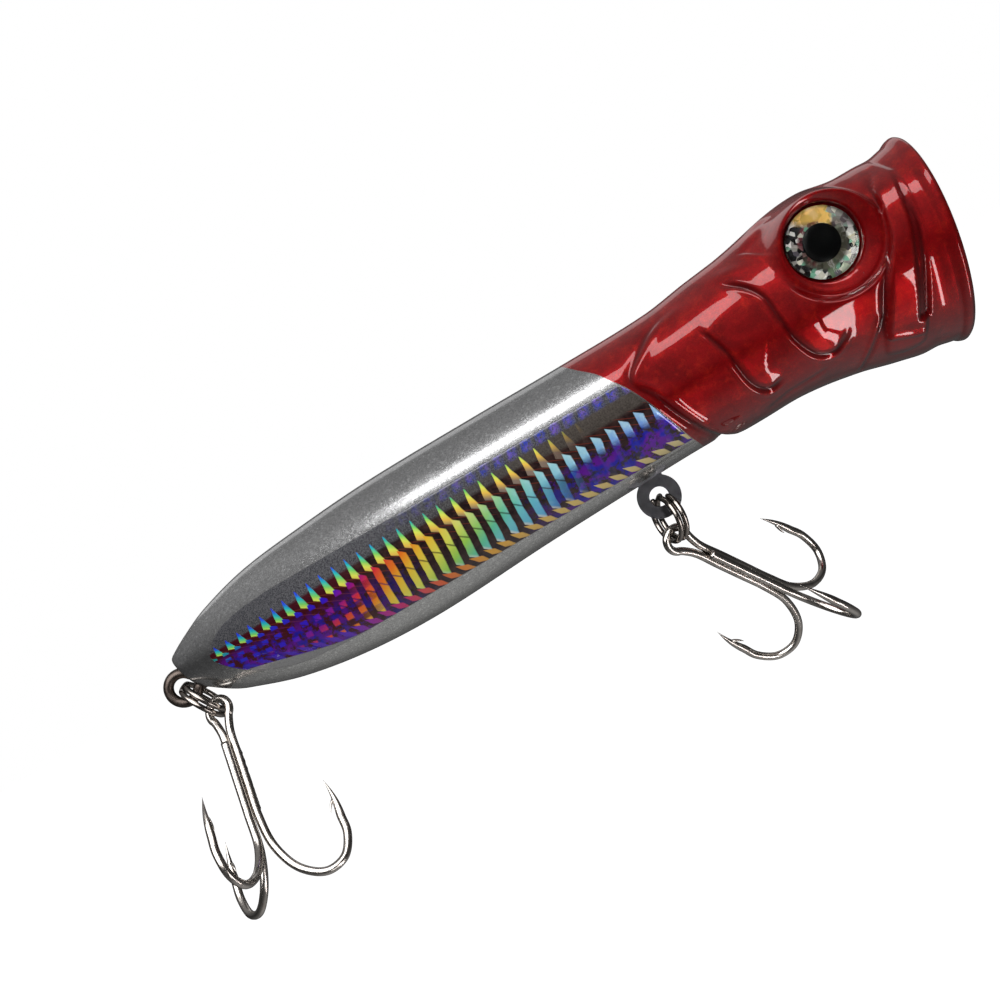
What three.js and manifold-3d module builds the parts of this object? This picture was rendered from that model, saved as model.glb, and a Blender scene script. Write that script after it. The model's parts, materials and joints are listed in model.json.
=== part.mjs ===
// A topwater popper: a hollow two-part fishing lure with a cupped mouth, a through wire,
// ballast and rattle balls inside, and a treble hook on a split ring at the belly and the tail.
// Millimetres. The nose points along +X, the back faces +Z and the fish's right side faces -Y.
// The origin is the centre of the tow loop in the cup. Stations along the body are counted
// from the tail tip, and at() turns a station into X.
import * as THREE from 'three';
import { mergeVertices } from 'three/addons/utils/BufferGeometryUtils.js';
import Module from 'manifold-3d';

const wasm = await Module();
wasm.setup();

// Driving dimensions.
const GAP = 0.3; // clearance between neighbouring pieces
const TOW_STATION = 186; // tow loop centre, from the tail tip
const WALL = 2.2;
const ROUND = 36; // facets round the body
const WIRE_SIDES = 7;
const BEYOND = 30; // far enough to clear the hull on any side

// The hull: station, then half-sizes towards the back, the belly and the side.
const HULL = [
  [0, 4.2, 4.2, 4.2],
  [6, 7.4, 7.4, 7.2],
  [12, 10.2, 10.0, 9.8],
  [24, 13.4, 14.0, 13.4],
  [40, 15.2, 16.6, 15.8],
  [58, 16.4, 17.3, 16.6],
  [85, 16.7, 16.0, 16.6],
  [107, 16.7, 15.3, 16.4],
  [129, 17.1, 14.9, 16.6],
  [140, 18.6, 15.6, 17.4],
  [151, 20.0, 16.0, 18.2],
  [164, 22.7, 18.2, 19.6],
  [172, 23.2, 20.3, 20.6],
  [180, 21.8, 22.0, 21.4],
  [192, 22.6, 23.0, 22.2],
];
const TAIL_SLANT = 0.33; // the blunt tail end leans this much per mm of height
const TAIL_BLEND = 8;
const MOUTH_SLANT = 0.164; // the upper lip stands forward by this much per mm of height
const MOUTH_BLEND = 174;
const LIP_STATION = 192.3;
const LIP_REACH = 1.035; // the lip flares past the hull by this factor
const CUP_EDGE = 0.885; // inner edge of the lip, as a share of the hull
const CUP_BOTTOM = 177.5;
const SIDE_STATIONS = [3, 6, 9, 12, 18, 24, 32, 40, 50, 62, 85, 107, 129]; // rings of the skin

// Inside the hull.
const HOLLOW = [15, 172];
const BULKHEADS = [
  { station: 34, thick: 1.8 },
  { station: 76, thick: 1.8 },
  { station: 98, thick: 6 },
  { station: 126, thick: 1.8 },
  { station: 148, thick: 1.8 },
];
const LOCATORS = [
  [10.5, 5.6],
  [98, 9],
  [176.4, -13],
]; // station and height of the moulded pins that line up the halves
const LOCATOR_R = 1.5;
const LOCATOR_DEPTH = 2.2;

// Wire frame and hanger.
const WIRE_R = 1.2;
const LOOP_R = 3.3; // loop centreline
const LEG_SPREAD = 1.35; // half the distance between a loop's two legs
const FILLET_R = 2.2;
const TAIL_LOOP = [-0.8, -2.6]; // station and height of its centre
const LEG_LENGTH = 11;
const STRAIGHT_ENDS = [8.5, 183.5]; // stations between which the wire's channel is round
const PLATE_THICK = 1.2;
const HANGER = { station: 112, eyeZ: -19.5, eyeR: 5, holeR: 2.25, rootZ: -6.4, rootR: 4, pinHoleR: 1.8 };
const HANGER_NECK = 3; // half width
const HANGER_PIN = { r: 1.5, length: 12 };
const HANGER_BLOCK = { length: 15, top: -1.9, half: 7.2 }; // solid plastic round the pin

// Split rings and treble hooks.
const RING_R = 5.3;
const RING_WIRE_R = 0.65;
const COIL_STEP = 1.55; // between the two coils
const JOG = THREE.MathUtils.degToRad(22); // half the arc where the wire crosses from coil to coil
const HOOK_WIRE_R = 0.95;
const HOOK_EYE_R = 2.75;
const SHANK_SPREAD = 1.1;
const SHANK_END = -26;
const POINT_LENGTH = 9.4;
const POINT_LEAN = 0.12; // the point leans in towards the shank
const BARB = { length: 2.4, r: 0.45, up: 2.4, inwards: 0.8 };
const BRAZE = { halfWidth: 1.4, thick: 0.7, length: 17 };
const HOOK_AZIMUTHS = [-90, 30, 150]; // single hook, then the two ends of the double hook

// Rest pose of the two hook sets: the ring's direction in the middle plane, its twist about that
// direction, how far round the ring the hook eye sits, and the hook's fold out of the ring plane.
const TAIL_POSE = { ring: -60, twist: 0, round: -37, fold: 31 };
const BELLY_POSE = { ring: -95, twist: -22, round: 11, fold: -43 };

// Eyes.
const EYE = { station: 168.1, z: 11.3, floor: 14.2, r: 7.9, domeHeight: 2.3, pupilR: 4.1 };
const EYE_RIM = { inner: 8.6, outer: 10.8, face: 18.2, base: 12, flare: 11.6 };
const EYE_WALL = 1.6;
const EYE_FLOOR_THICK = 2;
const DISC_THICK = 0.3; // eye foil and pupil disc
const DISC_STEP = 0.6; // from one disc to the next
const DOME_EDGE = 0.5;

// Foil panels.
const FOIL_THICK = 0.35;
const FOIL_DEPTH = 0.7; // depth of the recess it lies in
const PANEL = { top: 7.5, bottom: -11.8, tail: 9, tailZ: 0.6, frontTop: 115.1, frontBottom: 124.2 };
const PANEL_CUT = { inner: 3, outer: 23 }; // distances from the middle plane

// Loose and fixed balls: station, y, z.
const BALLAST = { r: 6, places: [[43, 0, -8.3], [55.6, 0, -8.8], [68.2, 0, -8.3]] };
const RATTLE = { r: 4, places: [[86, -5.2, -8.2], [86, 5.2, -8.2]] };

const at = (station) => station - TOW_STATION;
const radians = THREE.MathUtils.degToRad;

// Solids from geometries and back. Manifold only joins and cuts.
function solid(geometry) {
  const bare = geometry.clone();
  for (const name of Object.keys(bare.attributes)) {
    if (name !== 'position') bare.deleteAttribute(name);
  }
  const merged = mergeVertices(bare, 1e-4);
  const vertProperties = new Float32Array(merged.attributes.position.array);
  const triVerts = new Uint32Array(merged.index.array);
  return new wasm.Manifold(new wasm.Mesh({ numProp: 3, vertProperties, triVerts }));
}

function geometryOf(manifold) {
  const mesh = manifold.getMesh();
  const geometry = new THREE.BufferGeometry();
  geometry.setAttribute('position', new THREE.BufferAttribute(mesh.vertProperties, 3));
  geometry.setIndex(new THREE.BufferAttribute(mesh.triVerts, 1));
  geometry.computeVertexNormals();
  return geometry;
}

function join(geometries) {
  return geometryOf(geometries.map(solid).reduce((whole, next) => whole.add(next)));
}

function mirrored(geometry) {
  const copy = geometry.index ? geometry.toNonIndexed() : geometry.clone();
  copy.scale(1, -1, 1);
  const position = copy.attributes.position;
  const a = new THREE.Vector3();
  const b = new THREE.Vector3();
  for (let i = 0; i < position.count; i += 3) {
    a.fromBufferAttribute(position, i);
    b.fromBufferAttribute(position, i + 1);
    position.setXYZ(i, b.x, b.y, b.z);
    position.setXYZ(i + 1, a.x, a.y, a.z);
  }
  copy.computeVertexNormals();
  return copy;
}

// A cylinder along Y from y0 to y1.
function crossPin(radius, y0, y1, x, z, segments = 24, endRadius = radius) {
  const geometry = new THREE.CylinderGeometry(endRadius, radius, y1 - y0, segments);
  return geometry.translate(x, (y0 + y1) / 2, z);
}

function box(x0, x1, y0, y1, z0, z1) {
  const geometry = new THREE.BoxGeometry(x1 - x0, y1 - y0, z1 - z0);
  return geometry.translate((x0 + x1) / 2, (y0 + y1) / 2, (z0 + z1) / 2);
}

// A wire along a curve. Its steps follow the curve's parameter, so they are short where it bends.
function wireAlong(curve, radius, steps) {
  const circle = new THREE.EllipseCurve(0, 0, radius, radius).getPoints(WIRE_SIDES);
  const section = new THREE.Shape(circle.slice(0, -1));
  curve.getUtoTmapping = (u) => u;
  return new THREE.ExtrudeGeometry(section, { steps, extrudePath: curve, bevelEnabled: false });
}

// A wire through a list of points, with a number of steps between neighbouring points.
function wireThrough(points, radius, stepsBetween) {
  const curve = new THREE.CatmullRomCurve3(points, false, 'centripetal');
  return wireAlong(curve, radius, stepsBetween * (points.length - 1));
}

// A flat plate in the XZ plane, from a shape drawn as (x, z).
function plate(shape, thick, curveSegments = 12) {
  const geometry = new THREE.ExtrudeGeometry(shape, { depth: thick, bevelEnabled: false, curveSegments });
  return geometry.rotateX(Math.PI / 2).translate(0, thick / 2, 0);
}

// Hull half-sizes at a station, by cubic interpolation of the HULL rows.
function hullAt(station) {
  const last = HULL.length - 1;
  const s = THREE.MathUtils.clamp(station, HULL[0][0], HULL[last][0]);
  const i = Math.min(HULL.findIndex((row, k) => k === last || s <= HULL[k + 1][0]), last - 1);
  const span = HULL[i + 1][0] - HULL[i][0];
  const t = (s - HULL[i][0]) / span;
  const slope = (k, column) => {
    const before = HULL[Math.max(k - 1, 0)];
    const after = HULL[Math.min(k + 1, last)];
    return (after[column] - before[column]) / (after[0] - before[0]);
  };
  return [1, 2, 3].map((column) => {
    const rise = HULL[i + 1][column] - HULL[i][column];
    const m0 = slope(i, column) * span;
    const m1 = slope(i + 1, column) * span;
    return HULL[i][column] + t * (m0 + t * (3 * rise - 2 * m0 - m1 + t * (m0 + m1 - 2 * rise)));
  });
}

// A closed body of revolution about the hull's axis. Each profile point is a station and a share
// of the hull's half-sizes there, less an inset.
function hullBody(profile, inset = 0) {
  const points = profile.map(([station, share]) => new THREE.Vector2(share, station));
  const geometry = new THREE.LatheGeometry(points, ROUND);
  const position = geometry.attributes.position;
  for (let i = 0; i < position.count; i += 1) {
    const [back, belly, side] = hullAt(position.getY(i)).map((half) => half - inset);
    const up = position.getX(i);
    const z = up * (up > 0 ? back : belly);
    const y = position.getZ(i) * side;
    let station = position.getY(i);
    const tail = THREE.MathUtils.clamp(1 - station / TAIL_BLEND, 0, 1);
    const mouth = THREE.MathUtils.smoothstep(station, MOUTH_BLEND, LIP_STATION);
    station += TAIL_SLANT * (HULL[0][1] - z) * tail + MOUTH_SLANT * z * mouth;
    position.setXYZ(i, at(station), y, z);
  }
  return geometry;
}

// Outer skin: blunt tail, swelling body, flared lip and the bowl of the cup.
function outerProfile() {
  const tail = [[0, 0], [0, 0.8], [0.5, 0.98]];
  const head = [137, 145, 154, 161, 167, 172, 176, 180, 185, 189.5];
  const lip = [
    [LIP_STATION - 1, LIP_REACH],
    [LIP_STATION, LIP_REACH - 0.01],
    [LIP_STATION + 0.6, 0.975],
    [LIP_STATION + 0.2, 0.925],
    [LIP_STATION - 1, CUP_EDGE],
  ];
  const bowl = [0.9, 0.8, 0.66, 0.5, 0.34, 0.18, 0].map((share) => {
    const depth = LIP_STATION - 1 - CUP_BOTTOM;
    return [CUP_BOTTOM + depth * share ** 2.2, CUP_EDGE * share];
  });
  return [...tail, ...[...SIDE_STATIONS, ...head].map((station) => [station, 1]), ...lip, ...bowl];
}

function hollowProfile() {
  const [from, to] = HOLLOW;
  const stations = [15, 24, 36, 50, 58, 85, 107, 129, 140, 151, 164, 172];
  return [[from, 0], ...stations.map((station) => [station, 1]), [to, 0]];
}

// The side panel's outline, grown outwards by margin.
function panelShape(margin = 0) {
  const top = PANEL.top + margin;
  const bottom = PANEL.bottom - margin;
  const tail = at(PANEL.tail - margin);
  const corner = tail + 4;
  const shape = new THREE.Shape();
  shape.moveTo(tail, PANEL.tailZ);
  shape.quadraticCurveTo(corner, top, corner + 21, top);
  shape.lineTo(at(PANEL.frontTop + margin), top);
  shape.lineTo(at(PANEL.frontBottom + margin), bottom);
  shape.lineTo(corner + 27, bottom);
  shape.quadraticCurveTo(corner, bottom, tail, PANEL.tailZ);
  return shape;
}

// Stations of a plain, open-ended stretch of hull that covers the panels.
function sleeveProfile() {
  const first = SIDE_STATIONS[0];
  const last = SIDE_STATIONS[SIDE_STATIONS.length - 1];
  return [[first, 0], ...SIDE_STATIONS.map((station) => [station, 1]), [last, 0]];
}

function panelPrism(side, margin) {
  const { inner, outer } = PANEL_CUT;
  const prism = plate(panelShape(margin), outer - inner, 10);
  return prism.translate(0, (side * (inner + outer)) / 2, 0);
}

function foilPanel(side) {
  const skin = solid(hullBody(sleeveProfile())).subtract(solid(hullBody(sleeveProfile(), FOIL_THICK)));
  return geometryOf(skin.intersect(solid(panelPrism(side, 0))));
}

function foilRecess(side) {
  const skin = solid(hullBody(sleeveProfile(), -1)).subtract(solid(hullBody(sleeveProfile(), FOIL_DEPTH)));
  return skin.intersect(solid(panelPrism(side, GAP)));
}

function hangerShape(grow = 0) {
  const x = at(HANGER.station);
  const neck = HANGER_NECK + grow;
  const eye = HANGER.eyeR + grow;
  const root = HANGER.rootR + grow;
  const eyeTurn = Math.asin(neck / eye);
  const rootTurn = Math.asin(neck / root);
  const shape = new THREE.Shape();
  shape.absarc(x, HANGER.eyeZ, eye, Math.PI / 2 - eyeTurn, Math.PI / 2 + eyeTurn, true);
  shape.absarc(x, HANGER.rootZ, root, -Math.PI / 2 - rootTurn, rootTurn - Math.PI / 2, true);
  return shape;
}

function hangerPlate() {
  const shape = hangerShape();
  const x = at(HANGER.station);
  const holes = [[HANGER.eyeZ, HANGER.holeR], [HANGER.rootZ, HANGER.pinHoleR]];
  for (const [z, r] of holes) shape.holes.push(new THREE.Path().absarc(x, z, r, 0, 2 * Math.PI, false));
  return plate(shape, PLATE_THICK);
}

// The channel of the wire frame: round along the body, a slot where a loop stands out.
function wireChannel() {
  const r = WIRE_R + GAP;
  const [tailStation, tailZ] = TAIL_LOOP;
  const tailX = at(tailStation);
  const [from, to] = STRAIGHT_ENDS;
  const straight = new THREE.CylinderGeometry(r, r, to - from, 12).rotateZ(Math.PI / 2);
  straight.translate(at((from + to) / 2), 0, 0);
  const loopSlot = crossPin(LOOP_R + r, -r, r, tailX, tailZ, 20);
  const legs = box(tailX, tailX + LEG_LENGTH + 9, -r, r, tailZ - LEG_SPREAD - r, LEG_SPREAD + r);
  const noseLegs = box(-LEG_LENGTH - 13, 0, -r, r, -LEG_SPREAD - r, LEG_SPREAD + r);
  return [straight, loopSlot, legs, noseLegs].map(solid).reduce((whole, next) => whole.add(next));
}

// A drum about the eye's axis, between two distances from the middle plane.
function eyeDrum(side, outerR, near, far, innerR = outerR) {
  const drum = crossPin(outerR, -far, -near, at(EYE.station), EYE.z, 32, innerR);
  return solid(side < 0 ? drum : mirrored(drum));
}

function bodySolid() {
  let hollow = solid(hullBody(hollowProfile(), WALL));
  for (const { station, thick } of BULKHEADS) {
    const wall = box(at(station - thick / 2), at(station + thick / 2), -BEYOND, BEYOND, -BEYOND, BEYOND);
    hollow = hollow.subtract(solid(wall));
  }
  const hangerX = at(HANGER.station);
  const reach = HANGER_BLOCK.length / 2;
  const { half, top } = HANGER_BLOCK;
  hollow = hollow.subtract(solid(box(hangerX - reach, hangerX + reach, -half, half, -BEYOND, top)));
  let body = solid(hullBody(outerProfile()));
  for (const side of [-1, 1]) {
    hollow = hollow.subtract(eyeDrum(side, EYE_RIM.inner + EYE_WALL, EYE.floor - EYE_FLOOR_THICK, BEYOND));
    body = body.add(eyeDrum(side, EYE_RIM.outer, EYE_RIM.base, EYE_RIM.face, EYE_RIM.flare));
  }
  body = body.subtract(hollow);
  for (const side of [-1, 1]) {
    body = body.subtract(eyeDrum(side, EYE_RIM.inner, EYE.floor, BEYOND));
    body = body.subtract(foilRecess(side));
  }
  body = body.subtract(solid(plate(hangerShape(GAP), PLATE_THICK + 2 * GAP)));
  const pinR = HANGER_PIN.r + GAP;
  const pinEnd = HANGER_PIN.length / 2 + GAP;
  body = body.subtract(solid(crossPin(pinR, -pinEnd, pinEnd, hangerX, HANGER.rootZ, 16)));
  return body.subtract(wireChannel());
}

// One half of the body. The right half carries the locating pins and the left half their sockets.
function bodyHalf(whole, side) {
  const [y0, y1] = side < 0 ? [-BEYOND, -GAP / 2] : [GAP / 2, BEYOND];
  let half = whole.intersect(solid(box(at(-BEYOND), BEYOND, y0, y1, -BEYOND, BEYOND)));
  for (const [station, z] of LOCATORS) {
    const x = at(station);
    if (side < 0) half = half.add(solid(crossPin(LOCATOR_R, -1, LOCATOR_DEPTH, x, z, 16)));
    else half = half.subtract(solid(crossPin(LOCATOR_R + GAP, -1, LOCATOR_DEPTH + GAP, x, z, 16)));
  }
  return geometryOf(half);
}

// Points of an eye bent into a wire: a leg, a fillet, most of a circle, a fillet and a leg back.
// It opens towards local +X, and legs lie at z = -/+ LEG_SPREAD.
function loopPoints(radius) {
  const reach = radius + FILLET_R;
  const filletZ = LEG_SPREAD + FILLET_R;
  const filletX = Math.sqrt(reach ** 2 - filletZ ** 2);
  const opening = Math.atan2(filletZ, filletX);
  const points = [];
  for (let i = 0; i <= 14; i += 1) {
    const angle = opening + ((2 * Math.PI - 2 * opening) * i) / 14;
    points.push([radius * Math.cos(angle), radius * Math.sin(angle)]);
  }
  const half = [];
  for (const turn of [0.35, 0.7, 1]) {
    const angle = Math.PI + opening + (Math.PI / 2 - opening) * turn;
    half.push([filletX + FILLET_R * Math.cos(angle), filletZ + FILLET_R * Math.sin(angle)]);
  }
  const lower = half.map(([x, z]) => [x, -z]);
  return [...half.reverse(), ...points, ...lower];
}

function throughWire() {
  const tail = loopPoints(LOOP_R).map(([x, z]) => [at(TAIL_LOOP[0]) + x, TAIL_LOOP[1] + z]);
  const nose = loopPoints(LOOP_R).map(([x, z]) => [-x, -z]);
  const tailLegX = tail[0][0] + LEG_LENGTH;
  const noseLegX = nose[0][0] - LEG_LENGTH;
  const route = [
    [tailLegX, TAIL_LOOP[1] - LEG_SPREAD],
    [tailLegX - LEG_LENGTH / 2, TAIL_LOOP[1] - LEG_SPREAD],
    ...tail.reverse(),
    [tailLegX - LEG_LENGTH / 2, TAIL_LOOP[1] + LEG_SPREAD],
    [tailLegX + 4, -0.2],
    [tailLegX + 12, 0],
    [at(60), 0],
    [at(120), 0],
    [noseLegX - 14, 0],
    [noseLegX - 6, LEG_SPREAD * 0.7],
    [noseLegX + LEG_LENGTH / 2, LEG_SPREAD],
    ...nose.reverse(),
    [noseLegX + LEG_LENGTH / 2, -LEG_SPREAD],
    [noseLegX, -LEG_SPREAD],
  ];
  return wireThrough(route.map(([x, z]) => new THREE.Vector3(x, 0, z)), WIRE_R, 1);
}

// A split ring about local Z, two coils of one wire, hanging from the origin towards local -X.
class SplitRingCurve extends THREE.Curve {
  getPoint(t, target = new THREE.Vector3()) {
    const angle = JOG + t * (4 * Math.PI - 2 * JOG);
    const middle = 2 * Math.PI;
    const side = THREE.MathUtils.smootherstep(angle, middle - JOG * 0.9, middle + JOG * 0.9) - 0.5;
    return target.set(RING_R * Math.sin(angle), RING_R * Math.cos(angle), COIL_STEP * side);
  }
}

function splitRing() {
  return wireAlong(new SplitRingCurve(), RING_WIRE_R, 62).rotateZ(Math.PI / 2);
}

// One hook's wire beyond the shank, as distance out from the shank axis and height below the eye.
function bendPoints(azimuth) {
  const outline = [
    [SHANK_SPREAD, SHANK_END],
    [2.1, -34],
    [5.8, -40.6],
    [11, -43.4],
    [15.4, -41.8],
    [17.6, -37],
    [17.5, -32.8],
  ];
  const out = new THREE.Vector3(Math.cos(azimuth), Math.sin(azimuth), 0);
  return outline.map(([rho, z]) => out.clone().multiplyScalar(rho).setZ(z));
}

// The tapered point that continues the wire, and its barb on the shank side.
function hookPoint(azimuth) {
  const bend = bendPoints(azimuth);
  const base = bend[bend.length - 1];
  const inward = new THREE.Vector3(-Math.cos(azimuth), -Math.sin(azimuth), 0);
  const direction = inward.clone().multiplyScalar(POINT_LEAN).setZ(1).normalize();
  const up = new THREE.Vector3(0, 1, 0);
  const point = new THREE.CylinderGeometry(0.1, HOOK_WIRE_R, POINT_LENGTH, 8);
  point.applyQuaternion(new THREE.Quaternion().setFromUnitVectors(up, direction));
  const middle = base.clone().addScaledVector(direction, POINT_LENGTH / 2 - 0.3);
  point.translate(middle.x, middle.y, middle.z);
  const barb = new THREE.CylinderGeometry(0.06, BARB.r, BARB.length, 5);
  const barbDirection = inward.clone().multiplyScalar(0.75).setZ(-1).normalize();
  barb.applyQuaternion(new THREE.Quaternion().setFromUnitVectors(up, barbDirection));
  const root = base.clone().addScaledVector(direction, BARB.up).addScaledVector(inward, BARB.inwards);
  barb.translate(root.x, root.y, root.z);
  return [point, barb];
}

// The double hook: one wire bent into the eye, with a hook at each end.
function doubleHook() {
  const [, first, second] = HOOK_AZIMUTHS.map(radians);
  const eye = [];
  const opening = radians(50);
  for (let i = 0; i <= 12; i += 1) {
    const angle = -Math.PI / 2 + opening + ((2 * Math.PI - 2 * opening) * i) / 12;
    eye.push(new THREE.Vector3(HOOK_EYE_R * Math.cos(angle), 0, HOOK_EYE_R * Math.sin(angle)));
  }
  const shank = (side) => [-5.6, -12, -19].map((z) => new THREE.Vector3(side * SHANK_SPREAD, 0, z));
  const seat = (points, side) => {
    points[0].set(side * SHANK_SPREAD, 0, SHANK_END);
    return points;
  };
  const route = [
    ...seat(bendPoints(first), 1).reverse(),
    ...shank(1).reverse(),
    ...eye,
    ...shank(-1),
    ...seat(bendPoints(second), -1),
  ];
  const wire = wireThrough(route, HOOK_WIRE_R, 2);
  return join([wire, ...hookPoint(first), ...hookPoint(second)]);
}

// The third hook lies in the groove in front of the other two.
function singleHook() {
  const [azimuth] = HOOK_AZIMUTHS.map(radians);
  const depth = Math.sqrt((2 * SHANK_SPREAD) ** 2 - SHANK_SPREAD ** 2);
  const bend = bendPoints(azimuth);
  bend[0].set(0, -depth, SHANK_END);
  const shank = [-8.5, -14, -20].map((z) => new THREE.Vector3(0, -depth, z));
  return join([wireThrough([...shank, ...bend], HOOK_WIRE_R, 2), ...hookPoint(azimuth)]);
}

// The flat web of brazing metal behind the double hook's shanks.
function brazeWeb() {
  const near = HOOK_WIRE_R + GAP;
  const low = SHANK_END + 1;
  const { halfWidth, thick, length } = BRAZE;
  return box(-halfWidth, halfWidth, near, near + thick, low, low + length);
}

function material(color, roughness, metalness) {
  return new THREE.MeshStandardMaterial({ color, roughness, metalness });
}

const materials = {
  paint: material(0xa8121c, 0.18, 0.1),
  foil: material(0x8fa8c8, 0.2, 0.9),
  iris: material(0xd9c48a, 0.25, 0.9),
  pupil: material(0x080808, 0.3, 0),
  dome: material(0xf2f4f2, 0.05, 0),
  wire: material(0x3a3230, 0.35, 1),
  plate: material(0x8d9198, 0.45, 1),
  ring: material(0x5c5450, 0.25, 1),
  hook: material(0x9a938c, 0.2, 1),
  braze: material(0xb4b2aa, 0.4, 1),
  ball: material(0x8c8c90, 0.3, 1),
};

const lure = new THREE.Group();

function place(name, geometry, look, parent = lure) {
  const mesh = new THREE.Mesh(geometry, look.clone());
  mesh.name = name;
  parent.add(mesh);
  return mesh;
}

function addBody() {
  const whole = bodySolid();
  place('body_half_right', bodyHalf(whole, -1), materials.paint);
  place('body_half_left', bodyHalf(whole, 1), materials.paint);
  place('side_foil_right', foilPanel(-1), materials.foil);
  place('side_foil_left', foilPanel(1), materials.foil);
}

function domeProfile() {
  const points = [new THREE.Vector2(0, 0), new THREE.Vector2(EYE.r, 0), new THREE.Vector2(EYE.r, DOME_EDGE)];
  for (const share of [0.9, 0.75, 0.55, 0.3, 0]) {
    const rise = (EYE.domeHeight - DOME_EDGE) * Math.sqrt(1 - share ** 2);
    points.push(new THREE.Vector2(EYE.r * share, DOME_EDGE + rise));
  }
  return points;
}

function addEye(side, word) {
  const x = at(EYE.station);
  const disc = (r, depth) => {
    const near = EYE.floor + depth;
    const pin = crossPin(r, -near - DISC_THICK, -near, x, EYE.z, 32);
    return side < 0 ? pin : mirrored(pin);
  };
  place(`eye_foil_${word}`, disc(EYE.r, GAP), materials.iris);
  place(`pupil_disc_${word}`, disc(EYE.pupilR, GAP + DISC_STEP), materials.pupil);
  const dome = new THREE.LatheGeometry(domeProfile(), 32).rotateX(Math.PI);
  dome.translate(x, -EYE.floor - GAP - 2 * DISC_STEP, EYE.z);
  place(`eye_dome_${word}`, side < 0 ? dome : mirrored(dome), materials.dome);
}

function addBalls() {
  const ball = (r) => new THREE.SphereGeometry(r, 16, 10);
  BALLAST.places.forEach(([station, y, z], i) => {
    place(`ballast_ball_${i + 1}`, ball(BALLAST.r), materials.ball).position.set(at(station), y, z);
  });
  RATTLE.places.forEach(([station, y, z], i) => {
    place(`rattle_ball_${i + 1}`, ball(RATTLE.r), materials.ball).position.set(at(station), y, z);
  });
}

function addWireFrame() {
  place('through_wire', throughWire(), materials.wire);
  place('belly_hanger', hangerPlate(), materials.plate);
  const half = HANGER_PIN.length / 2;
  const pin = crossPin(HANGER_PIN.r, -half, half, at(HANGER.station), HANGER.rootZ, 16);
  place('hanger_pin', pin, materials.plate);
}

// A split ring through the hole at (x, 0, z) and a treble hook on the ring. Three nested groups
// turn with the pose: the ring about the hole, the eye round the ring, the hook about the ring wire.
function addHookSet(word, x, z, pose) {
  const hang = new THREE.Group();
  hang.position.set(x, 0, z);
  hang.rotation.y = radians(-pose.ring);
  lure.add(hang);
  const twist = new THREE.Group();
  twist.rotation.x = radians(pose.twist);
  hang.add(twist);
  const ring = place(`${word}_split_ring`, splitRing(), materials.ring, twist);
  ring.position.x = RING_R;
  const round = new THREE.Group();
  round.position.x = RING_R;
  round.rotation.z = radians(pose.round);
  twist.add(round);
  const swing = new THREE.Group();
  swing.position.x = RING_R;
  swing.rotation.y = radians(-90 + pose.fold);
  round.add(swing);
  place(`${word}_double_hook`, doubleHook(), materials.hook, swing);
  place(`${word}_single_hook`, singleHook(), materials.hook, swing);
  place(`${word}_braze_web`, brazeWeb(), materials.braze, swing);
}

addBody();
addEye(-1, 'right');
addEye(1, 'left');
addWireFrame();
addBalls();
addHookSet('tail', at(TAIL_LOOP[0]), TAIL_LOOP[1], TAIL_POSE);
addHookSet('belly', at(HANGER.station), HANGER.eyeZ, BELLY_POSE);

export default lure;
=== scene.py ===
"""A topwater popper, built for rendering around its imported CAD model.

Shapes are worked out in millimetres, in the CAD model's own frame: the nose points along +X, the
back faces +Z and the fish's right side faces -Y. Stations along the body are counted from the tail
tip, as in the CAD model, and the side features are laid out as station and height.
"""

import json
import math
import random

import bmesh
import bpy
import numpy as np
from mathutils import Matrix, Vector

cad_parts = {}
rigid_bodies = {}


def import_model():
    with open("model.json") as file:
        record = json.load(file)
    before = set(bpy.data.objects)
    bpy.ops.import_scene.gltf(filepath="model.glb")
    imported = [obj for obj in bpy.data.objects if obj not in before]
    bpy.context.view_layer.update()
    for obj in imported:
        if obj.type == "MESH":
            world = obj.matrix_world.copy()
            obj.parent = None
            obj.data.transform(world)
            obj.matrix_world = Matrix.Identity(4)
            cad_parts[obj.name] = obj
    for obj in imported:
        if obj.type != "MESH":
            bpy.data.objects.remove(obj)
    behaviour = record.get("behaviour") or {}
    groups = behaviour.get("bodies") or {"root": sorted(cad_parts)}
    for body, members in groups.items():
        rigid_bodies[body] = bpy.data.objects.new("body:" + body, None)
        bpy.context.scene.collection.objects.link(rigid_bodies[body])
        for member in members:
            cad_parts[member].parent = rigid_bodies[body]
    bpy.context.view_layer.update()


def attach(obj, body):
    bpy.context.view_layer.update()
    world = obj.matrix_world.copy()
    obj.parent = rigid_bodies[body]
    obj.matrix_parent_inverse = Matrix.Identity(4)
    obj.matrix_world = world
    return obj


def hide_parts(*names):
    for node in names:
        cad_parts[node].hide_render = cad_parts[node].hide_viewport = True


MM = 0.001
TOW_STATION = 186

# The hull, as in the CAD model: station, then half-sizes towards the back, the belly and the side.
HULL = np.array([
    [0, 4.2, 4.2, 4.2],
    [6, 7.4, 7.4, 7.2],
    [12, 10.2, 10.0, 9.8],
    [24, 13.4, 14.0, 13.4],
    [40, 15.2, 16.6, 15.8],
    [58, 16.4, 17.3, 16.6],
    [85, 16.7, 16.0, 16.6],
    [107, 16.7, 15.3, 16.4],
    [129, 17.1, 14.9, 16.6],
    [140, 18.6, 15.6, 17.4],
    [151, 20.0, 16.0, 18.2],
    [164, 22.7, 18.2, 19.6],
    [172, 23.2, 20.3, 20.6],
    [180, 21.8, 22.0, 21.4],
    [192, 22.6, 23.0, 22.2],
])
TAIL_SLANT, MOUTH_SLANT = 0.33, 0.164
TAIL_BLEND, TAIL_EASE = 12, 1.6  # the tail's slant fades out over this length, a softer fade than the CAD's
MOUTH_BLEND = 174  # the mouth's slant starts here
LIP_STATION = 192.3
CUP_EDGE = 0.885
CUP_BOTTOM = 177.5
WALL = 2.2
HOLLOW = (15, 172)
SEAM = 0.02  # half the hairline between the two halves

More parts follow.
